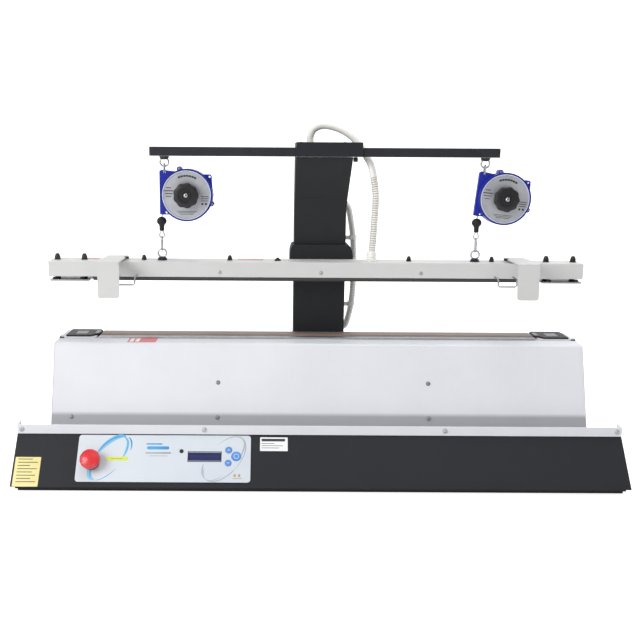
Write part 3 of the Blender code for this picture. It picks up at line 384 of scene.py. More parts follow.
prints = {
    "print_blue": printed("print_blue", display(150, 208, 238), display(96, 178, 224)),
    "print_deep_blue": printed("print_deep_blue", display(92, 172, 222), display(60, 148, 210)),
    "print_grey": printed("print_grey", display(188, 194, 198), display(150, 156, 162)),
    "print_lime": printed("print_lime", display(222, 236, 96), display(208, 226, 70)),
    "print_yellow": printed("print_yellow", display(236, 224, 158), display(228, 214, 140)),
    "print_white": printed("print_white", display(246, 247, 248), display(236, 238, 240)),
    "print_dark": printed("print_dark", display(58, 60, 66), display(40, 42, 48)),
    "print_red": printed("print_red", display(214, 96, 104), display(196, 70, 80)),
    "print_brown": printed("print_brown", display(196, 176, 120), display(176, 150, 96)),
    "print_arrow": printed("print_arrow", display(226, 236, 250), display(204, 220, 244)),
    "disc_silver": spun_disc("disc_silver", display(196, 198, 204)),
    "rim_lavender": moulded("rim_lavender", display(206, 211, 242), 0.35, 0.0016, 0.00002, 0.2),
}


# ---------------------------------------------------------------- shapes


def mesh_of(points, faces):
    mesh = bpy.data.meshes.new("shape")
    mesh.from_pydata([tuple(point) for point in points], [], faces)
    return mesh


def stand(point, out=UP, turn=0.0):
    """A frame at a point whose own Z looks out and whose own Y is as near up as it goes."""
    out = Vector(out).normalized()
    level = abs(out.dot(UP)) > 0.999
    across = RIGHT if level else UP.cross(out).normalized()
    axes = Matrix((across, out.cross(across), out)).transposed().to_4x4()
    return Matrix.Translation(point) @ axes @ Matrix.Rotation(turn, 4, "Z")


def circle(angle):
    return 1.0


def hexagon(angle):
    """The reach of a hexagon, as a share of its corner radius."""
    sixth = math.pi / 3
    return math.cos(sixth / 2) / math.cos(angle % sixth - sixth / 2)


def polar(radius, angle):
    return (radius * math.cos(angle), radius * math.sin(angle))


def lathe(lay, profile, steps=36):
    """A closed turned body about the frame's Z. Rows are (radius, height) or (radius, height, outline)."""
    points = [lay @ Vector((0, 0, profile[0][1]))]
    for row in profile:
        outline = row[2] if len(row) > 2 else circle
        for step in range(steps):
            angle = 2 * math.pi * step / steps
            reach = row[0] * outline(angle)
            points.append(lay @ Vector((reach * math.cos(angle), reach * math.sin(angle), row[1])))
    points.append(lay @ Vector((0, 0, profile[-1][1])))
    last = len(points) - 1
    faces = []
    for step in range(steps):
        after = (step + 1) % steps
        faces.append((0, 1 + after, 1 + step))
        faces.append((last, last - steps + step, last - steps + after))
        for row in range(len(profile) - 1):
            start = 1 + row * steps
            faces.append((start + step, start + after, start + steps + after, start + steps + step))
    return mesh_of(points, faces)


def plate(lay, outline, low, high):
    """A flat outline in the frame's X and Y, thickened from low to high along its Z."""
    count = len(outline)
    points = [lay @ Vector((x, y, z)) for z in (low, high) for x, y in outline]
    faces = [(i, (i + 1) % count, count + (i + 1) % count, count + i) for i in range(count)]
    faces += [tuple(range(count - 1, -1, -1)), tuple(range(count, 2 * count))]
    return mesh_of(points, faces)


def ring(lay, outer, inner, low, high, steps=64):
    """A flat washer or rim with a square section."""
    rows = ((outer, low), (outer, high), (inner, high), (inner, low))
    points = []
    for radius, height in rows:
        for step in range(steps):
            angle = 2 * math.pi * step / steps
            points.append(lay @ Vector((radius * math.cos(angle), radius * math.sin(angle), height)))
    faces = []
    for row in range(4):
        for step in range(steps):
            after = (step + 1) % steps
            below = row * steps
            above = (row + 1) % 4 * steps
            faces.append((below + step, below + after, above + after, above + step))
    return mesh_of(points, faces)


def rectangle(left, right, low, high, radius=0.0, parts=5):
    if not radius:
        return [(left, low), (right, low), (right, high), (left, high)]
    outline = []
    middles = ((right - radius, high - radius), (left + radius, high - radius))
    middles += ((left + radius, low + radius), (right - radius, low + radius))
    for quarter, (x, y) in enumerate(middles):
        for part in range(parts + 1):
            angle = (quarter + part / parts) * math.pi / 2
            outline.append((x + radius * math.cos(angle), y + radius * math.sin(angle)))
    return outline


def curve_through(points, parts):
    """Points along a Catmull-Rom curve through the given ones."""
    knots = [Vector(point) for point in points]
    knots = [2 * knots[0] - knots[1]] + knots + [2 * knots[-1] - knots[-2]]
    path = []
    for before, start, end, after in zip(knots, knots[1:], knots[2:], knots[3:]):
        for part in range(parts):
            t = part / parts
            bend = 2 * before - 5 * start + 4 * end - after
            twist = 3 * start - before - 3 * end + after
            path.append(0.5 * (2 * start + (end - before) * t + bend * t * t + twist * t**3))
    return path + [knots[-2]]


def even(path, spacing):
    """The same path again, with its points evenly spaced."""
    lengths = [0.0]
    for start, end in zip(path, path[1:]):
        lengths.append(lengths[-1] + (end - start).length)
    count = max(2, round(lengths[-1] / spacing))
    spaced = []
    leg = 0
    for i in range(count + 1):
        reach = lengths[-1] * i / count
        while leg < len(path) - 2 and lengths[leg + 1] < reach:
            leg += 1
        share = (reach - lengths[leg]) / max(lengths[leg + 1] - lengths[leg], 1e-9)
        spaced.append(path[leg].lerp(path[leg + 1], min(1.0, share)))
    return spaced


def sweep(path, radius, sides=12, closed=False):
    """A round bar along a path; radius is a number or a function of the point's number."""
    path = [Vector(point) for point in path]
    count = len(path)
    points = []
    side = None
    for i, point in enumerate(path):
        after = path[(i + 1) % count] if closed or i < count - 1 else point
        before = path[i - 1] if closed or i > 0 else point
        way = (after - before).normalized()
        side = way.orthogonal() if side is None else side - way * side.dot(way)
        side.normalize()
        other = way.cross(side)
        reach = radius(i) if callable(radius) else radius
        for step in range(sides):
            angle = 2 * math.pi * step / sides
            points.append(point + side * (reach * math.cos(angle)) + other * (reach * math.sin(angle)))
    faces = []
    for i in range(count if closed else count - 1):
        low = i * sides
        high = (i + 1) % count * sides
        for step in range(sides):
            after = (step + 1) % sides
            faces.append((low + step, low + after, high + after, high + step))
    if not closed:
        faces.append(tuple(range(sides - 1, -1, -1)))
        faces.append(tuple(range((count - 1) * sides, count * sides)))
    return mesh_of(points, faces)


def oval(middle, across, up, half_wide, half_high, count=40):
    """A closed loop of points: a slot shape with round ends, in the plane of two directions."""
    straight = half_high - half_wide
    loop = []
    for step in range(count):
        angle = 2 * math.pi * step / count
        lift = straight if math.sin(angle) > 0 else -straight
        side_step, rise = polar(half_wide, angle)
        loop.append(middle + across * side_step + up * (rise + lift))
    return loop


def piece(name, shapes, finish, body, smooth=35, bevel=0.0):
    """One named piece of one or more closed shapes, riding on a body."""
    joined = bmesh.new()
    for shape in shapes:
        joined.from_mesh(shape)
        bpy.data.meshes.remove(shape)
    bmesh.ops.recalc_face_normals(joined, faces=joined.faces)
    mesh = bpy.data.meshes.new(name)
    joined.to_mesh(mesh)
    joined.free()
    mesh.materials.append((finishes | prints)[finish])
    made = bpy.data.objects.new(name, mesh)
    bpy.context.scene.collection.objects.link(made)
    mesh.shade_smooth()
    mesh.set_sharp_from_angle(angle=math.radians(smooth))
    if bevel:
        rounding = made.modifiers.new("round", "BEVEL")
        rounding.width = bevel
        rounding.segments = 3
        rounding.limit_method = "ANGLE"
        rounding.angle_limit = math.radians(smooth)
        rounding.harden_normals = True
    if body:
        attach(made, body)
    return made


# ---------------------------------------------------------------- fasteners


def button_head(lay, radius=0.004, height=0.0024):
    """A domed screw head with a hexagon socket and a thin washer under it."""
    washer = radius * 1.45
    return lathe(
        lay,
        [
            (washer, 0.0), (washer, height * 0.22), (radius, height * 0.24), (radius, height * 0.45),
            (radius * 0.86, height * 0.78), (radius * 0.6, height * 0.98),
            (radius * 0.5, height, hexagon), (radius * 0.47, height * 0.45, hexagon),
        ],
        24,
    )


def acorn_nut(lay, radius=0.006, height=0.0128):
    """A domed nut with a flange under its hexagon."""
    return lathe(
        lay,
        [
            (radius * 1.08, 0.0), (radius * 1.08, height * 0.09), (radius * 0.98, height * 0.11, hexagon),
            (radius * 0.98, height * 0.5, hexagon), (radius * 0.8, height * 0.56),
            (radius * 0.78, height * 0.68), (radius * 0.68, height * 0.82), (radius * 0.5, height * 0.93),
            (radius * 0.26, height * 0.99), (radius * 0.05, height),
        ],
        36,
    )


def plain_nut(lay, radius=0.0052, height=0.0036):
    return lathe(
        lay,
        [
            (radius * 1.25, 0.0), (radius * 1.25, height * 0.2), (radius, height * 0.24, hexagon),
            (radius, height * 0.88, hexagon), (radius * 0.86, height, hexagon), (radius * 0.52, height),
            (radius * 0.5, height * 1.5), (radius * 0.4, height * 1.6),
        ],
        24,
    )


def screws(name, places, out, body, slot, **size):
    heads = [button_head(stand(place, out), **size) for place in places]
    return piece(name, heads, slot, body)


# ---------------------------------------------------------------- carried-over nodes


def dress_frame():
    """Every node takes the finish of its material slot."""
    for part in frame["record"]["subparts"]:
        node = frame["nodes"][part["node"]]
        node.data.materials.clear()
        node.data.materials.append(finishes[part["material_slot"]])
    # The front cover gets a copy of the body paint with a painted shadow: darker grey just above the tray lip.
    painted_shadow_finish = body_paint("front_cover_grey_painted_shadow", (LIP_TOP + 0.008, LIP_TOP + 0.016))
    frame["nodes"]["front_cover"].data.materials[0] = painted_shadow_finish


# ---------------------------------------------------------------- body and console


def body_fasteners():
    low, high = box["front_cover"]
    tray_low, tray_high = box["catch_tray"]
    lip = (tray_low.z + tray_high.z) / 2
    edge = tray_high.x - 0.01
    places = [(x, tray_low.y, lip) for x in (-edge, -0.232, 0.253, edge)]
    screws("catch_tray_screws", places, FRONT, "root", "alloy", radius=0.0038, height=0.0024)

    knee = Vector((0, low.y, 0.106))
    brow = Vector((0, -0.037, high.z - 0.003))
    slope = (brow - knee).normalized()
    out = Vector((0, -slope.z, slope.y))
    heads = []
    for x, height in ((-0.508, 0.123), (-0.208, 0.123), (0.226, 0.123), (-0.208, 0.191), (0.226, 0.191)):
        share = (height - knee.z) / (brow.z - knee.z)
        heads.append(Vector((x, 0, 0)) + knee.lerp(brow, share))
    screws("front_cover_screws", heads, out, "root", "zinc_steel", radius=0.0032, height=0.0018)

    rear = box["rear_cover"][1].y
    heads = [(x, rear, z) for x in (-0.5, -0.25, 0.25, 0.5) for z in (0.04, 0.24)]
    screws("rear_cover_screws", heads, BACK, "root", "zinc_steel", radius=0.0036)
    for side, sign in zip(SIDES, (-1, 1)):
        face = sign * box["end_cover_right"][1].x
        heads = [(face, y, z) for y, z in ((-0.06, 0.12), (0.07, 0.04), (0.07, 0.245), (-0.015, 0.245))]
        screws(f"end_cover_screws_{side}", heads, RIGHT * sign, "root", "zinc_steel", radius=0.0036)


def seal_rails():
    """Bright flat bars along both edges of the cloth, which leave only its crown in sight."""
    cloth_low, cloth_high = box["ptfe_cover"]
    inner = box["magnet_frame_right"][0].x - THIN * 5
    foot = BODY_TOP + THIN / 3
    crown = cloth_high.z - 0.0024
    spans = {
        "front": (cloth_low.y - 0.0145, cloth_low.y - THIN),
        "rear": (cloth_high.y + THIN, box["carriage"][0].y - 0.001),
    }
    for name, (near, far) in spans.items():
        bar = plate(stand((0, 0, 0)), rectangle(-inner, inner, near, far, 0.001, 3), foot, crown)
        piece(f"seal_rail_{name}", [bar], "alloy", "root", bevel=0.0005)


def magnet_plates():
    """The painted plate under each magnet's black surround, its dark corner cap, and the surround's light."""
    for side, sign in zip(SIDES, (-1, 1)):
        low, high = box[f"magnet_frame_{side}"]
        outer = low.x if sign < 0 else high.x
        inner = high.x if sign < 0 else low.x
        level = stand((0, 0, 0))
        foot = BODY_TOP + THIN / 3
        top = BODY_TOP + 0.0026
        reach = outer + sign * 0.0125
        front = low.y - 0.003
        back = high.y + 0.005
        ends = sorted((reach, inner + sign * 0.004))
        base = plate(level, rectangle(*ends, front, back, 0.0012, 3), foot, top)
        piece(f"magnet_plate_{side}", [base], "body_grey", "root", bevel=0.0005)
        corner = [(reach + sign * 0.0012, front - 0.0008), (reach + sign * 0.0012, front + 0.016)]
        corner += [(reach - sign * 0.0004, front + 0.016), (reach - sign * 0.0004, front + 0.0006)]
        corner += [(reach - sign * 0.009, front + 0.0006), (reach - sign * 0.009, front - 0.0008)]
        cap = plate(level, corner, foot, top + 0.0004)
        piece(f"magnet_corner_{side}", [cap], "black_plastic", "root", bevel=0.0003)
        ends = sorted((inner + sign * 0.0022, inner + sign * 0.0108))
        outline = rectangle(*ends, low.y + 0.0215, low.y + 0.048, 0.001, 3)
        light = plate(level, outline, high.z - THIN, high.z + THIN)
        piece(f"magnet_light_{side}", [light], "zinc_steel", "root", bevel=0.0001)


def strip(name, left, right, front, rear, top, finish, body):
    """A thin printed label lying flat."""
    outline = rectangle(left, right, front, rear, 0.001, 3)
    label = plate(Matrix.Identity(4), outline, top + THIN / 2, top + THIN)
    return piece(name, [label], finish, body)


def labels():
    strip("strip_label_red", -0.4, -0.34, -0.03, 0.014, BODY_TOP, "print_red", "root")
    for name, left in (("first", -0.396), ("second", -0.384)):
        level = BODY_TOP + THIN / 2
        strip(f"strip_label_mark_{name}", left, left + 0.008, -0.024, 0.006, level, "print_white", "root")
    strip("beam_label_left", -0.495, -0.47, 0.05, 0.068, BEAM_TOP, "print_red", "jaw")
    strip("beam_label_middle", -0.1705, -0.117, 0.05, 0.07, BEAM_TOP, "print_red", "jaw")


# ---------------------------------------------------------------- control panel

PANEL_OUT = -Vector(joints["estop_push"]["axis"])
PANEL_UP = PANEL_OUT.cross(RIGHT)
CONSOLE_LOW = box["console_cover"][0]
STOP_FOOT = Vector(joints["estop_twist"]["pos_m"])
STOP_RISE = 0.0515
PANEL_FOOT = Vector((0, STOP_FOOT.y, STOP_FOOT.z)) - PANEL_UP * STOP_RISE
FILM = 0.0011
INK = 0.00012


def panel(across=0.0, up=0.0, out=0.0):
    """A frame on the sloping panel: its X to the right, its Y up the slope, its Z off the surface."""
    spot = PANEL_FOOT + RIGHT * across + PANEL_UP * up + PANEL_OUT * out
    turn = Matrix((RIGHT, PANEL_UP, PANEL_OUT)).transposed().to_4x4()
    return Matrix.Translation(spot) @ turn


def crescent(middle, half_wide, half_high, tilt, start, end, width, parts=40):
    """An arc of a tilted ellipse that swells to its full width half-way and thins to points."""
    outer = []
    inner = []
    for part in range(parts + 1):
        share = part / parts
        angle = math.radians(start + (end - start) * share)
        swell = width * math.sin(math.pi * share) ** 0.7 + 0.0002
        for side, line in ((1, outer), (-1, inner)):
            x = (half_wide + side * swell / 2) * math.cos(angle)
            y = (half_high + side * swell / 2) * math.sin(angle)
            turned_x = x * math.cos(tilt) - y * math.sin(tilt)
            turned_y = x * math.sin(tilt) + y * math.cos(tilt)
            line.append((middle[0] + turned_x, middle[1] + turned_y))
    return outer + inner[::-1]


def film_print(name, outlines, finish, level=0):
    """Printed shapes on the film, each level a little above the one below it."""
    shapes = [plate(panel(), outline, FILM - INK, FILM + INK * (level + 1)) for outline in outlines]
    return piece(name, shapes, finish, "root")


def bars(left, right, top, rows, pitch, thick, shares):
    """Rows of plain bars standing in for print, each a share of the full width."""
    outlines = []
    for row in range(rows):
        high = top - row * pitch
        wide = (right - left) * shares[row % len(shares)]
        outlines.append(rectangle(left, left + wide, high - thick, high))
    return outlines


def panel_art():
    """Plain sweeping bands at the film's left and right ends, a tab, and blank bars in place of print."""
    low, high = box["control_overlay"]
    tilt = math.radians(-36)
    middle = (low.x + 0.064, 0.06)
    beside = (low.x + 0.069, 0.0605)
    film_print(
        "overlay_sweep_blue",
        [
            crescent(middle, 0.0255, 0.0535, tilt, 188, 92, 0.01),
            crescent(middle, 0.0255, 0.053, tilt, 200, 284, 0.0092),
            crescent(middle, 0.0225, 0.051, tilt, 100, 8, 0.0048),
        ],
        "print_blue",
    )
    film_print(
        "overlay_sweep_deep_blue",
        [
            crescent(middle, 0.0275, 0.0515, tilt, 182, 112, 0.0034),
            crescent(beside, 0.0265, 0.0525, tilt, 92, 40, 0.003),
            crescent(middle, 0.0215, 0.052, tilt, 214, 262, 0.0022),
            crescent(middle, 0.025, 0.0535, tilt, 286, 350, 0.0012),
        ],
        "print_deep_blue", 1,
    )
    tilt = math.radians(-40)
    middle = (high.x - 0.0525, 0.059)
    film_print(
        "overlay_sweep_grey",
        [
            crescent(middle, 0.03, 0.0555, tilt, 168, -4, 0.0018),
            crescent(middle, 0.03, 0.055, tilt, -2, -92, 0.003),
            crescent(middle, 0.024, 0.0545, tilt, 88, 22, 0.0022),
            crescent(middle, 0.024, 0.054, tilt, -30, -88, 0.0014),
            crescent(middle, 0.0315, 0.0555, tilt, 218, 262, 0.0036),
            crescent(middle, 0.025, 0.055, tilt, 226, 268, 0.0016),
        ],
        "print_grey",
    )
    film_print("overlay_tab_lime", [rectangle(-0.4271, -0.3823, 0.0545, 0.0625, 0.0036)], "print_lime", 2)
    film_print("overlay_tab_bar", [rectangle(-0.417, -0.393, 0.0576, 0.0594, 0.0008)], "print_brown", 3)
    heading = [rectangle(-0.346, -0.302, 0.078, 0.0845, 0.002)]
    heading.append(rectangle(-0.348, -0.316, 0.088, 0.091, 0.001))
    film_print("overlay_heading", heading, "print_deep_blue")
    lines = [rectangle(-0.348, -0.298, 0.069, 0.0725, 0.001)]
    lines.append(rectangle(-0.34, -0.304, 0.064, 0.0652, 0.0005))
    film_print("overlay_heading_line", lines, "print_grey")
    footer = [rectangle(-0.173, -0.155, 0.0185, 0.0196)]
    footer += [rectangle(x, x + 0.0042, 0.0222, 0.0275, 0.001) for x in (-0.1715, -0.1625)]
    film_print("overlay_footer", footer, "print_brown")


def console_labels():
    """A yellow label at the console's left end and a white one by the film, with bars for print."""
    left = CONSOLE_LOW.x
    sunk = -0.0002
    face = plate(panel(), rectangle(left + 0.004, left + 0.0545, 0.0008, 0.0612, 0.001, 3), sunk, THIN)
    piece("side_label", [face], "print_yellow", "root")
    rows = bars(left + 0.01, left + 0.049, 0.0575, 8, 0.0066, 0.0014, (0.72, 1.0, 0.62, 1.0, 0.76, 0.94))
    shapes = [plate(panel(), outline, 0.0, THIN + INK) for outline in rows]
    piece("side_label_bars", shapes, "print_dark", "root")
    card = plate(panel(), rectangle(-0.12, -0.0646, 0.0763, 0.1051, 0.001, 3), sunk, THIN)
    piece("front_label", [card], "print_white", "root")
    rows = [rectangle(-0.117, -0.07, 0.0965, 0.102)]
    rows += bars(-0.117, -0.07, 0.0925, 3, 0.0046, 0.0011, (0.55, 0.9, 0.75))
    shapes = [plate(panel(), outline, 0.0, THIN + INK) for outline in rows]
    piece("front_label_bars", shapes, "print_dark", "root")


def panel_fittings():
    """The display's frame, the indicator and the marks on the buttons."""
    low, high = box["display"]
    centre = (Vector(low) + Vector(high)) / 2
    up = (centre - PANEL_FOOT).dot(PANEL_UP)
    half_wide = (high.x - low.x) / 2
    half_high = (high.z - low.z) / 2 / PANEL_UP.z * 0.93
    border = 0.0016
    left, right = centre.x - half_wide, centre.x + half_wide
    floor, roof = up - half_high, up + half_high
    bezel = [
        rectangle(left - border, right + border, roof, roof + border),
        rectangle(left - border, right + border, floor - border, floor),
        rectangle(left - border, left, floor, roof), rectangle(right, right + border, floor, roof),
    ]
    film_print("display_border", bezel, "print_dark")
    dome = [(0.0042, 0.0), (0.0042, 0.0005), (0.0034, 0.0011), (0.0018, 0.0015), (0.0004, 0.0016)]
    lens = lathe(panel(-0.2768, 0.0746, FILM), dome)
    piece("indicator_lens", [lens], "black_plastic", "root")
    mark_low, mark_high = 0.00215, 0.00235
    chevron = [(-0.003, -0.0016), (0.0, 0.002), (0.003, -0.0016)]
    chevron += [(0.0018, -0.0016), (0.0, 0.0005), (-0.0018, -0.0016)]
    chevrons = {"up": ("up_button", 1), "down": ("down_button", -1)}
    for name, (body, way) in chevrons.items():
        low, high = box[f"button_{name}"]
        middle = (Vector(low) + Vector(high)) / 2
        spot = (middle - PANEL_FOOT).dot(PANEL_UP)
        mark = [(middle.x + x, spot + way * y) for x, y in chevron]
        shape = plate(panel(), mark, mark_low, mark_high)
        piece(f"button_mark_{name}", [shape], "print_arrow", body)
    low, high = box["button_enter"]
    middle = (Vector(low) + Vector(high)) / 2
    spot = (middle - PANEL_FOOT).dot(PANEL_UP)
    halo = ring(panel(middle.x, spot), 0.0052, 0.0042, mark_low, mark_high, 36)
    piece("button_mark_enter", [halo], "print_arrow", "enter_button")


def emergency_stop():
    """A mushroom head with finger scallops, three turn arrows and a collar ring."""
    up = (STOP_FOOT - PANEL_FOOT).dot(PANEL_UP)
    lay = panel(STOP_FOOT.x, up)

    def scalloped(angle):
        return 1.0 - 0.022 * (0.5 + 0.5 * math.cos(12 * angle)) ** 2

    head = lathe(
        lay,
        [
            (0.01, 0.0122), (0.0184, 0.0128), (0.0196, 0.014, scalloped), (0.02, 0.0156, scalloped),
            (0.02, 0.0205, scalloped), (0.0195, 0.0228, scalloped), (0.0182, 0.0246), (0.016, 0.0257),
            (0.0148, 0.0258), (0.0142, 0.0252), (0.0118, 0.0256), (0.008, 0.0266), (0.004, 0.0272),
            (0.0006, 0.0274),
        ],
        72,
    )
    mushroom = piece("estop_mushroom", [head], "stop_red", "estop_head", smooth=40)
    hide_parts("estop_cap")
    arrows = []
    for third in range(3):
        start = math.radians(120 * third)
        outer = []
        inner = []
        for part in range(13):
            angle = start + math.radians(70) * part / 12
            outer.append(polar(0.0174, angle))
            inner.append(polar(0.0164, angle))
        tip = start + math.radians(84)
        barb = [polar(0.0184, angle), polar(0.0169, tip), polar(0.0154, angle)]
        arrows.append(plate(lay, outer + barb + inner[::-1], 0.0252, 0.026))
    piece("estop_arrows", arrows, "print_red", "estop_head")
    collar = ring(lay, 0.0166, 0.012, 0.0014, 0.0068, 48)
    piece("estop_collar_ring", [collar], "black_plastic", "root", bevel=0.0005)


# ---------------------------------------------------------------- column, head and conduits


def crossbar_fittings():
    low, high = box["crossbar"]
    middle = (low + high) / 2
    half = (high.y - low.y) / 2
    for side, x, out in (("left", low.x, -RIGHT), ("right", high.x, RIGHT)):
        lay = stand((x, middle.y, middle.z), out)
        plug = half * 0.72
        cap = [
            plate(lay, rectangle(-half, half, -half, half, 0.002), 0.0, 0.0022),
            plate(lay, rectangle(-plug, plug, -plug, plug, 0.002), -0.012, 0.0001),
        ]
        piece(f"crossbar_cap_{side}", cap, "black_plastic", "root", bevel=0.0006)


def column_fittings():
    middle, rear, level = -0.0035, 0.16, 0.33
    thick = 0.0018
    lay = stand((middle, rear, level), BACK)
    access = plate(lay, rectangle(-0.04, 0.04, -0.19, 0.19, 0.004), THIN, thick)
    piece("column_rear_plate", [access], "column_black", "root", bevel=0.0005)
    heads = [(middle + x, rear + thick, level + z) for x in (-0.034, 0.034) for z in (-0.182, 0.0, 0.182)]
    screws("column_plate_screws", heads, BACK, "root", "zinc_steel", radius=0.0034)
    anchors = [(x, 0.176, 0.006) for x in (-0.082, 0.082)]
    screws("column_foot_screws", anchors, UP, "root", "zinc_steel", radius=0.006, height=0.0042)
    head_low, head_high = box["head"]
    caps = [(x, 0.13, head_high.z) for x in (-0.036, 0.06)]
    screws("head_screws", caps, UP, "root", "zinc_steel", radius=0.0034)
    sides = [(head_low.x, y, 0.663) for y in (0.08, 0.14)]
    screws("head_side_screws", sides, -RIGHT, "root", "zinc_steel", radius=0.0034)


def knobbed_clamp():
    """The small black thumb screw under the head that holds the crossbar."""
    low, high = box["clamp_knob"]
    middle = (low + high) / 2

    def fluted(angle):
        return 1.0 + 0.06 * math.cos(10 * angle)

    lay = stand((middle.x, middle.y, low.z))
    knob = lathe(
        lay,
        [
            (0.003, 0.0), (0.0041, 0.0006, fluted), (0.0046, 0.002, fluted), (0.0046, 0.0078, fluted),
            (0.004, 0.0092), (0.0032, 0.0098), (0.0026, high.z - low.z),
        ],
        60,
    )
    made = piece("clamp_thumb_screw", [knob], "black_plastic", "bar_clamp", smooth=50)
    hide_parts("clamp_knob")


def corrugated(path, radius, depth, pitch, smooth_from=1.0):
    """A ribbed hose: rounded ribs every pitch, dying away to a smooth sleeve beyond a share of its length."""
    rows_per_rib = 8
    sides = 20
    spaced = even(path, pitch / rows_per_rib)
    last = len(spaced) - 1

    def hollow(i):
        """0 on a rib's crest, 1 at the bottom of a groove."""
        fade = 1.0 if i / last < smooth_from else 0.12
        return fade * (0.5 - 0.5 * math.cos(2 * math.pi * i / rows_per_rib)) ** 1.6

    mesh = sweep(spaced, lambda i: radius - depth * hollow(i), sides)
    # The groove depth is kept on the mesh for the material's painted shade in the grooves.
    layer = mesh.attributes.new(GROOVE_SHADE, "FLOAT", "POINT")
    layer.data.foreach_set("value", [hollow(i) for i in range(last + 1) for side in range(sides)])
    return mesh


def conduits():
    x, y = 0.114, JAW_LINE
    crest = box["conduit_upper"][1].z - 0.0075
    head_top = box["head"][1].z
    path = curve_through(
        [
            (x, y, BEAM_TOP + 0.012), (x + 0.0015, y, 0.462), (x + 0.004, y + 0.001, 0.508),
            (x + 0.006, y + 0.002, 0.56), (x + 0.004, y + 0.007, 0.591), (x - 0.003, y + 0.016, 0.63),
            (x - 0.012, y + 0.028, 0.65), (x - 0.025, y + 0.043, 0.672),
            (x - 0.044, y + 0.053, crest - 0.0225), (x - 0.069, y + 0.062, crest - 0.0075),
            (x - 0.1, y + 0.069, crest), (x - 0.122, y + 0.072, crest - 0.007),
            (x - 0.13, y + 0.073, crest - 0.0215), (x - 0.131, y + 0.073, head_top + 0.001),
        ],
        10,
    )
    ribs = corrugated(path, 0.0077, 0.0011, 0.0049, 0.42)
    hose = piece("jaw_hose", [ribs], "conduit_white", None, smooth=60)
    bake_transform(hose)
    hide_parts("conduit_upper")
    gland = lathe(
        stand((x, y, BEAM_TOP)),
        [
            (0.012, 0.0), (0.012, 0.0016), (0.0112, 0.0022, hexagon), (0.0112, 0.0062, hexagon),
            (0.0094, 0.0072), (0.0092, 0.0085), (0.01, 0.0098), (0.01, 0.0188), (0.009, 0.0204),
            (0.0078, 0.0206),
        ],
        48,
    )
    piece("jaw_hose_gland", [gland], "conduit_white", "jaw", smooth=30)

    behind = box["conduit_lower"][1].y - 0.0058
    column_rear = behind - 0.011
    face = column_rear + 0.0065
    lower = curve_through(
        [
            (0.04, face, 0.565), (0.056, behind - 0.001, 0.558), (0.069, behind, 0.545),
            (0.0765, behind, 0.529), (0.0858, behind, 0.47), (0.089, behind, 0.4),
            (0.0858, behind, 0.325), (0.0745, behind, 0.273), (0.062, behind, 0.262),
            (0.048, behind - 0.001, 0.25), (0.034, face, 0.236),
        ],
        10,
    )
    ribs = corrugated(lower, 0.0072, 0.0009, 0.0036)
    hose = piece("column_hose", [ribs], "conduit_grey", "root", smooth=60)
    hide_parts("conduit_lower")
    for name, (hose_x, height) in {"upper": (0.0859, 0.471), "lower": (0.085, 0.319)}.items():
        hose_clip(name, Vector((hose_x, behind, height)))
    for name, end in (("upper", lower[0]), ("lower", lower[-1])):
        spot = Vector((end.x - 0.004, column_rear, end.z))
        hood = lathe(
            stand(spot, BACK),
            [
                (0.0125, THIN), (0.0125, 0.002), (0.0108, 0.003, hexagon), (0.0104, 0.012, hexagon),
                (0.008, 0.014), (0.004, 0.0145),
            ],
            36,
        )
        piece(f"column_hose_gland_{name}", [hood], "black_plastic", "root")


def hose_clip(name, spot):
    """A pale nylon P-clip: a band round the hose and a foot on the column's rear corner."""
    half = 0.0045
    lay = stand(Vector((0, 0, spot.z)))
    root = 0.05
    foot = spot.y - 0.0107
    shapes = [
        ring(stand(spot), 0.0086, 0.0073, -half, half, 36),
        plate(lay, rectangle(root, spot.x - 0.006, foot, spot.y - 0.0092), -half, half),
        plate(lay, rectangle(spot.x - 0.009, spot.x - 0.0072, foot, spot.y - 0.0015), -half, half),
    ]
    piece(f"hose_clip_{name}", shapes, "conduit_grey", "root")


# ---------------------------------------------------------------- upper jaw


def jaw_fasteners():
    low, high = box["beam"]
    places = [(x, low.y, low.z + 0.0105) for x in (-0.208, 0.0055, 0.216)]
    screws("beam_front_screws", places, FRONT, "jaw", "alloy", radius=0.0028, height=0.0018)
    nuts = [acorn_nut(stand((x, JAW_LINE, BEAM_TOP)), 0.0052, 0.0112) for x in (-0.371, -0.188, 0.194, 0.371)]
    piece("beam_dome_nuts", nuts, "black_plastic", "jaw")
    flat = plain_nut(stand((-0.086, JAW_LINE, BEAM_TOP)), 0.006, 0.004)
    piece("beam_flat_nut", [flat], "black_plastic", "jaw")
    rear = [(x, high.y, (low.z + high.z) / 2) for x in (-0.45, -0.25, 0.25, 0.45)]
    screws("beam_rear_screws", rear, BACK, "jaw", "bright_steel", radius=0.0034, height=0.0019)
    for side, sign in zip(SIDES, (-1, 1)):
        guard_low, guard_high = box[f"guard_{side}"]
        inner = guard_high.x if sign < 0 else guard_low.x
        spot = (inner, JAW_LINE - 0.004, guard_high.z - 0.001)
        pin = lathe(stand(spot, RIGHT * -sign), [(0.0026, -0.003), (0.0026, 0.0052), (0.002, 0.0062)], 20)
        piece(f"guard_pin_{side}", [pin], "black_plastic", "jaw")


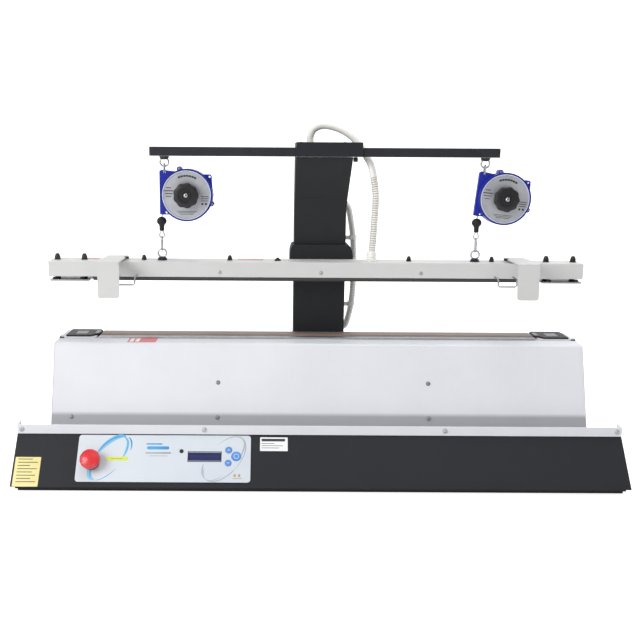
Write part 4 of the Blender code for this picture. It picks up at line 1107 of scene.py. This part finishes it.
def armatures():
    """The spring-hung pull-down plates: bright plate, dark spacers and domed nuts over the beam."""
    for side, sign in zip(SIDES, (-1, 1)):
        low, high = box[f"armature_{side}"]
        body = f"armature_{side}"
        floor = low.z
        slab_top = 0.0034
        lay = stand((0, 0, floor))
        slab = plate(lay, rectangle(low.x, high.x, low.y, high.y, 0.002), 0.0, slab_top)
        bar = piece(f"pull_plate_{side}", [slab], "bright_steel", body, bevel=0.0004)
        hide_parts(body)
        inner, outer = (high.x, low.x) if sign < 0 else (low.x, high.x)
        studs = []
        nuts = []
        for x in (inner + sign * 0.0148, outer - sign * 0.0097):
            foot = Vector((x, JAW_LINE, floor + slab_top))
            rise = BEAM_TOP - foot.z
            column = [(0.0056, 0.0), (0.0056, 0.016), (0.003, 0.0162), (0.003, rise + 0.004)]
            studs.append(lathe(stand(foot), column, 24))
            nuts.append(acorn_nut(stand((x, JAW_LINE, BEAM_TOP + THIN)), 0.0064, 0.0132))
            collar = Vector((x, low.y + 0.007, foot.z))
            studs.append(lathe(stand(collar), [(0.005, 0.0), (0.005, 0.0036), (0.0036, 0.0044)], 24))
        piece(f"pull_plate_studs_{side}", studs, "black_plastic", body)
        piece(f"pull_plate_nuts_{side}", nuts, "black_plastic", body)


EYE_RADIUS = 0.0088
EYE_WIRE = 0.0015
EYE_COAT = 0.0004
BAR_EYE_RISE = 0.0075


def eye_bolt(name, centre, collar_face, way, node, body):
    """A drawn-wire eye on a black collar, standing on a face above or below it."""
    loop = []
    for step in range(48):
        across, up = polar(EYE_RADIUS, 2 * math.pi * step / 48)
        loop.append(centre + RIGHT * across + UP * up)
    eye = piece(name, [sweep(loop, EYE_WIRE + EYE_COAT, 14, closed=True)], "alloy", body, 60)
    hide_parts(node)
    base = Vector((centre.x, centre.y, collar_face))
    height = 0.0062
    collar = lathe(
        stand(base, UP * way),
        [
            (0.0102, 0.0002), (0.0102, 0.0016), (0.0096, 0.002, hexagon), (0.0094, height * 0.75, hexagon),
            (0.007, height), (0.0034, height + 0.0012),
        ],
        36,
    )
    piece(f"{name}_collar", [collar], "black_plastic", body)


def hanging_line(side):
    """The rubber stop on the balancer's cable, its sleeve and thimble, and the link down to the jaw's eye."""
    pivot = Vector(joints[f"hook_swing_{side}"]["pos_m"])
    eye = pivot - UP * (EYE_RADIUS - EYE_WIRE)
    body = f"hook_{side}"
    low = EYE_RADIUS - EYE_WIRE - 0.0016
    high = 0.035
    link = oval(eye + UP * (low + high) / 2, BACK, UP, 0.0046, (high - low) / 2)
    shapes = [sweep(link, 0.0015, 10, closed=True)]
    gate = [eye + Vector((0, y, z)) for y, z in ((-0.0046, 0.012), (-0.0052, 0.02), (-0.0046, 0.028))]
    shapes.append(sweep(even(gate, 0.001), 0.0021, 10))
    loop = piece(f"snap_link_{side}", shapes, "alloy", body, 60)
    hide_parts(f"snap_hook_{side}")
    drop = []
    for step in range(40):
        angle = 2 * math.pi * step / 40
        half = 0.0064 * math.sin(angle) * (0.72 - 0.28 * math.cos(angle))
        drop.append(eye + RIGHT * half + UP * (0.0404 + 0.0078 * math.cos(angle)))
    thimble = sweep(drop, 0.0014, 10, closed=True)
    piece(f"cable_thimble_{side}", [thimble], "alloy", body, 60)
    sleeve = [
        (0.004, 0.0474), (0.005, 0.048), (0.0051, 0.056), (0.0056, 0.0586), (0.0066, 0.0604),
        (0.0084, 0.0622), (0.0098, 0.0645), (0.0103, 0.0675), (0.0098, 0.0705), (0.0084, 0.0732),
        (0.0062, 0.0752), (0.0038, 0.0764), (0.002, 0.0768),
    ]
    stop = lathe(stand(eye), sleeve, 40)
    piece(f"cable_stop_{side}", [stop], "rubber_black", body, smooth=60)
    top = eye + UP * 0.076
    axle = Vector(joints[f"drum_turn_{side}"]["pos_m"])
    exit_point = Vector((axle.x - 0.0495, JAW_LINE, axle.z - 0.03))
    rope = sweep(even([top, top.lerp(exit_point, 0.5), exit_point], 0.002), 0.0011, 8)
    cable = piece(f"balancer_cable_{side}", [rope], "zinc_steel", None, smooth=60)
    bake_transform(cable)


# ---------------------------------------------------------------- balancers


def balancer(side):
    pivot = Vector(joints[f"balancer_swing_{side}"]["pos_m"])
    axle = Vector(joints[f"drum_turn_{side}"]["pos_m"])
    hang = axle - pivot
    level_pivot = Vector(joints["balancer_swing_left"]["pos_m"])
    level = Vector(joints["drum_turn_left"]["pos_m"]) - level_pivot
    lean = math.atan2(-hang.z, hang.x) - math.atan2(-level.z, level.x)
    body = f"balancer_{side}"
    rim = 0.0278
    lay = Matrix.Translation((axle.x, 0, axle.z)) @ Matrix.Rotation(lean, 4, "Y")
    front = lay @ Matrix.Rotation(math.radians(90), 4, "X")

    def facing(x, z, y):
        """A frame in the cover's plane whose own Z looks to the front."""
        return front @ Matrix.Translation((x, z, -y))

    disc = lathe(
        facing(0, 0, rim + 0.0032),
        [
            (0.0508, 0.0), (0.0508, 0.0012), (0.0486, 0.0022), (0.0482, 0.0018), (0.016, 0.0018),
            (0.015, 0.003), (0.004, 0.003),
        ],
        96,
    )
    piece(f"balancer_cover_{side}", [disc], "disc_silver", body, 25)
    edge = ring(facing(0, 0, rim + 0.001), 0.051, 0.049, -0.0004, 0.0012, 96)
    piece(f"balancer_rim_{side}", [edge], "rim_lavender", body, bevel=0.0004)
    marks = []
    top = rim + 0.0012
    ink = 0.0001
    arc = 0.04
    for dash in range(7):
        angle = math.radians(112 - dash * 8.2)
        spot = facing(*polar(arc, angle), top)
        turned = spot @ Matrix.Rotation(angle - math.pi / 2, 4, "Z")
        marks.append(plate(turned, rectangle(-0.0025, 0.0025, -0.0019, 0.0019), 0.0, ink))
    rows = [(-0.043, -0.032, 0.016, 0.0016), (-0.047, -0.028, 0.01, 0.002)]
    rows += [(-0.045, -0.029, 0.004, 0.0016), (-0.043, -0.032, -0.002, 0.0014)]
    rows += [(0.03, 0.046, height, 0.0013) for height in (-0.002, -0.0065, -0.011)]
    rows += [(0.031, 0.035, -0.016, 0.004), (0.0385, 0.0425, -0.016, 0.004)]
    rows += [(-half, half, -0.033 - 0.003 * row, 0.0009) for row, half in enumerate((0.021, 0.018, 0.014))]
    for left, right, high, thick in rows:
        marks.append(plate(facing(0, 0, top), rectangle(left, right, high - thick, high), 0.0, ink))
    piece(f"balancer_print_{side}", marks, "print_dark", body)

    def lobes(angle):
        return 1.0 + 0.036 * math.cos(9 * angle)

    knob_low, knob_high = box[f"balancer_knob_{side}"]
    thick = knob_high.y - knob_low.y
    knob = lathe(
        facing(0, 0, knob_high.y),
        [
            (0.0228, 0.0, lobes), (0.025, 0.0012, lobes), (0.0257, 0.0032, lobes),
            (0.0257, thick - 0.0034, lobes), (0.0249, thick - 0.0012, lobes), (0.0232, thick, lobes),
            (0.015, thick - 0.0004), (0.014, thick - 0.0016), (0.0112, thick - 0.0016),
            (0.0104, thick - 0.0002), (0.0072, thick), (0.0066, thick - 0.001),
        ],
        108,
    )
    turner = piece(f"tension_knob_{side}", [knob], "black_plastic", f"knob_{side}", smooth=40)
    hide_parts(f"balancer_knob_{side}")
    dome = lathe(
        facing(0, 0, knob_low.y + 0.0012),
        [
            (0.0052, 0.0), (0.0052, 0.0008), (0.0046, 0.0022), (0.0034, 0.0034), (0.0018, 0.004),
            (0.0004, 0.0042),
        ],
        36,
    )
    piece(f"tension_knob_dome_{side}", [dome], "bright_steel", f"knob_{side}", smooth=60)
    lug_places = ((-0.015, 0.054), (0.0517, -0.018))
    bolts = [button_head(facing(x, z, 0.034), 0.0022, 0.0016) for x, z in lug_places]
    over = Matrix.Rotation(math.pi, 4, "X")
    nuts = [plain_nut(facing(x, z, 0.056) @ over, 0.0034, 0.0026) for x, z in lug_places]
    piece(f"balancer_case_bolts_{side}", bolts + nuts, "zinc_steel", body)
    down = 0.0135
    link = oval(Vector((0, 0, -down / 2 + 0.0008)), BACK, UP, 0.0058, down / 2 + 0.0032)
    tip = Matrix.Translation(pivot) @ Matrix.Rotation(lean, 4, "Y")
    loop = sweep([tip @ point for point in link], 0.0016, 10, closed=True)
    piece(f"balancer_link_{side}", [loop], "alloy", body, 60)


# ---------------------------------------------------------------- stage


ROOM_LIGHT = 0.32
KEY_WATTS = 70
TOP_WATTS = 36
RIM_WATTS = 22
FLOOR_GLOW = 0.42


def soft_light(name, place, aim, size, watts, tint=(1.0, 1.0, 1.0)):
    data = bpy.data.lights.new(name, "AREA")
    data.shape = "RECTANGLE"
    data.size, data.size_y = size
    data.energy = watts
    data.color = tint
    lamp = bpy.data.objects.new(name, data)
    lamp.location = place
    lamp.rotation_euler = (Vector(aim) - Vector(place)).to_track_quat("-Z", "Y").to_euler()
    bpy.context.scene.collection.objects.link(lamp)


def studio():
    """A pale floor that sweeps up behind, an even white room and a large key light from the left."""
    half = 6.0
    profile = [(-4.0, 0.0), (2.5, 0.0)]
    bend = 1.5
    for step in range(1, 17):
        angle = math.pi / 2 * step / 16
        profile.append((2.5 + bend * math.sin(angle), bend - bend * math.cos(angle)))
    profile.append((4.0, 6.0))
    points = [(x, y, z) for x in (-half, half) for y, z in profile]
    count = len(profile)
    faces = [(i, i + 1, count + i + 1, count + i) for i in range(count - 1)]
    mesh = mesh_of(points, faces)
    mesh.shade_smooth()
    look = Look("studio_floor", 0.9)
    grain = look.noise(0.8, 3.0)
    white = look.mix(grain, display(249, 249, 250), display(253, 253, 253))
    distance = look.node("ShaderNodeVectorMath", {"Vector": look.place}, operation="LENGTH").outputs["Value"]
    glow = look.fit(distance, 0.9, 1.7, 0.8, 1.0)
    look.set(Base_Color=look.mix(0.5, white, display(160, 160, 160)), Specular_IOR_Level=0.1)
    seen = look.node("ShaderNodeLightPath").outputs["Is Camera Ray"]
    look.set(Emission_Color=white, Emission_Strength=look.fit(seen, 0.0, 1.0, FLOOR_GLOW, glow))
    mesh.materials.append(look.material)
    floor = bpy.data.objects.new("studio_floor", mesh)
    floor.location.z = cad_low.z
    bpy.context.scene.collection.objects.link(floor)

    world = bpy.data.worlds.new("studio")
    world.use_nodes = True
    bpy.context.scene.world = world
    tree = world.node_tree
    room = tree.nodes["Background"]
    room.inputs["Color"].default_value = (1.0, 1.0, 1.0, 1.0)
    ray = tree.nodes.new("ShaderNodeLightPath")
    share = tree.nodes.new("ShaderNodeMix")
    share.data_type = "FLOAT"
    share.inputs[2].default_value = ROOM_LIGHT
    share.inputs[3].default_value = 1.0
    tree.links.new(ray.outputs["Is Camera Ray"], share.inputs[0])
    tree.links.new(share.outputs[0], room.inputs["Strength"])
    middle = (cad_low + cad_high) / 2
    soft_light("key", (-2.4, -2.0, 1.8), middle, (1.8, 1.8), KEY_WATTS)
    soft_light("top", (0.2, 0.1, 2.6), middle, (2.6, 1.6), TOP_WATTS)
    soft_light("rim", (2.0, 0.5, 1.3), middle, (1.2, 1.2), RIM_WATTS)
    bpy.context.scene.view_settings.view_transform = "Standard"


def camera():
    """A standing operator's view from in front, a little left of the middle, looking down a little."""
    distance = 1.572
    height = 0.653
    pitch = math.radians(10.98)
    roll = math.radians(-0.33)
    data = bpy.data.cameras.new("camera")
    data.sensor_width = 36.0
    data.lens = 47.8
    data.shift_x = 0.0755
    view = bpy.data.objects.new("camera", data)
    view.location = (-0.1, cad_low.y - distance, height)
    view.rotation_euler = (math.pi / 2 - pitch, roll, 0.0)
    bpy.context.scene.collection.objects.link(view)
    bpy.context.scene.camera = view


dress_frame()
body_fasteners()
seal_rails()
magnet_plates()
labels()
panel_art()
console_labels()
panel_fittings()
emergency_stop()
crossbar_fittings()
column_fittings()
knobbed_clamp()
conduits()
jaw_fasteners()
armatures()
for side in SIDES:
    hook_pivot = Vector(joints[f"hook_swing_{side}"]["pos_m"])
    hang_pivot = Vector(joints[f"balancer_swing_{side}"]["pos_m"])
    jaw_eye = hook_pivot - UP * (EYE_RADIUS - EYE_WIRE)
    bar_eye = hang_pivot + UP * BAR_EYE_RISE
    eye_bolt(f"jaw_eye_bolt_{side}", jaw_eye, BEAM_TOP, 1, f"jaw_eye_{side}", "jaw")
    eye_bolt(f"bar_eye_bolt_{side}", bar_eye, box["crossbar"][0].z, -1, f"bar_eye_{side}", "root")
    hanging_line(side)
    balancer(side)
studio()
camera()
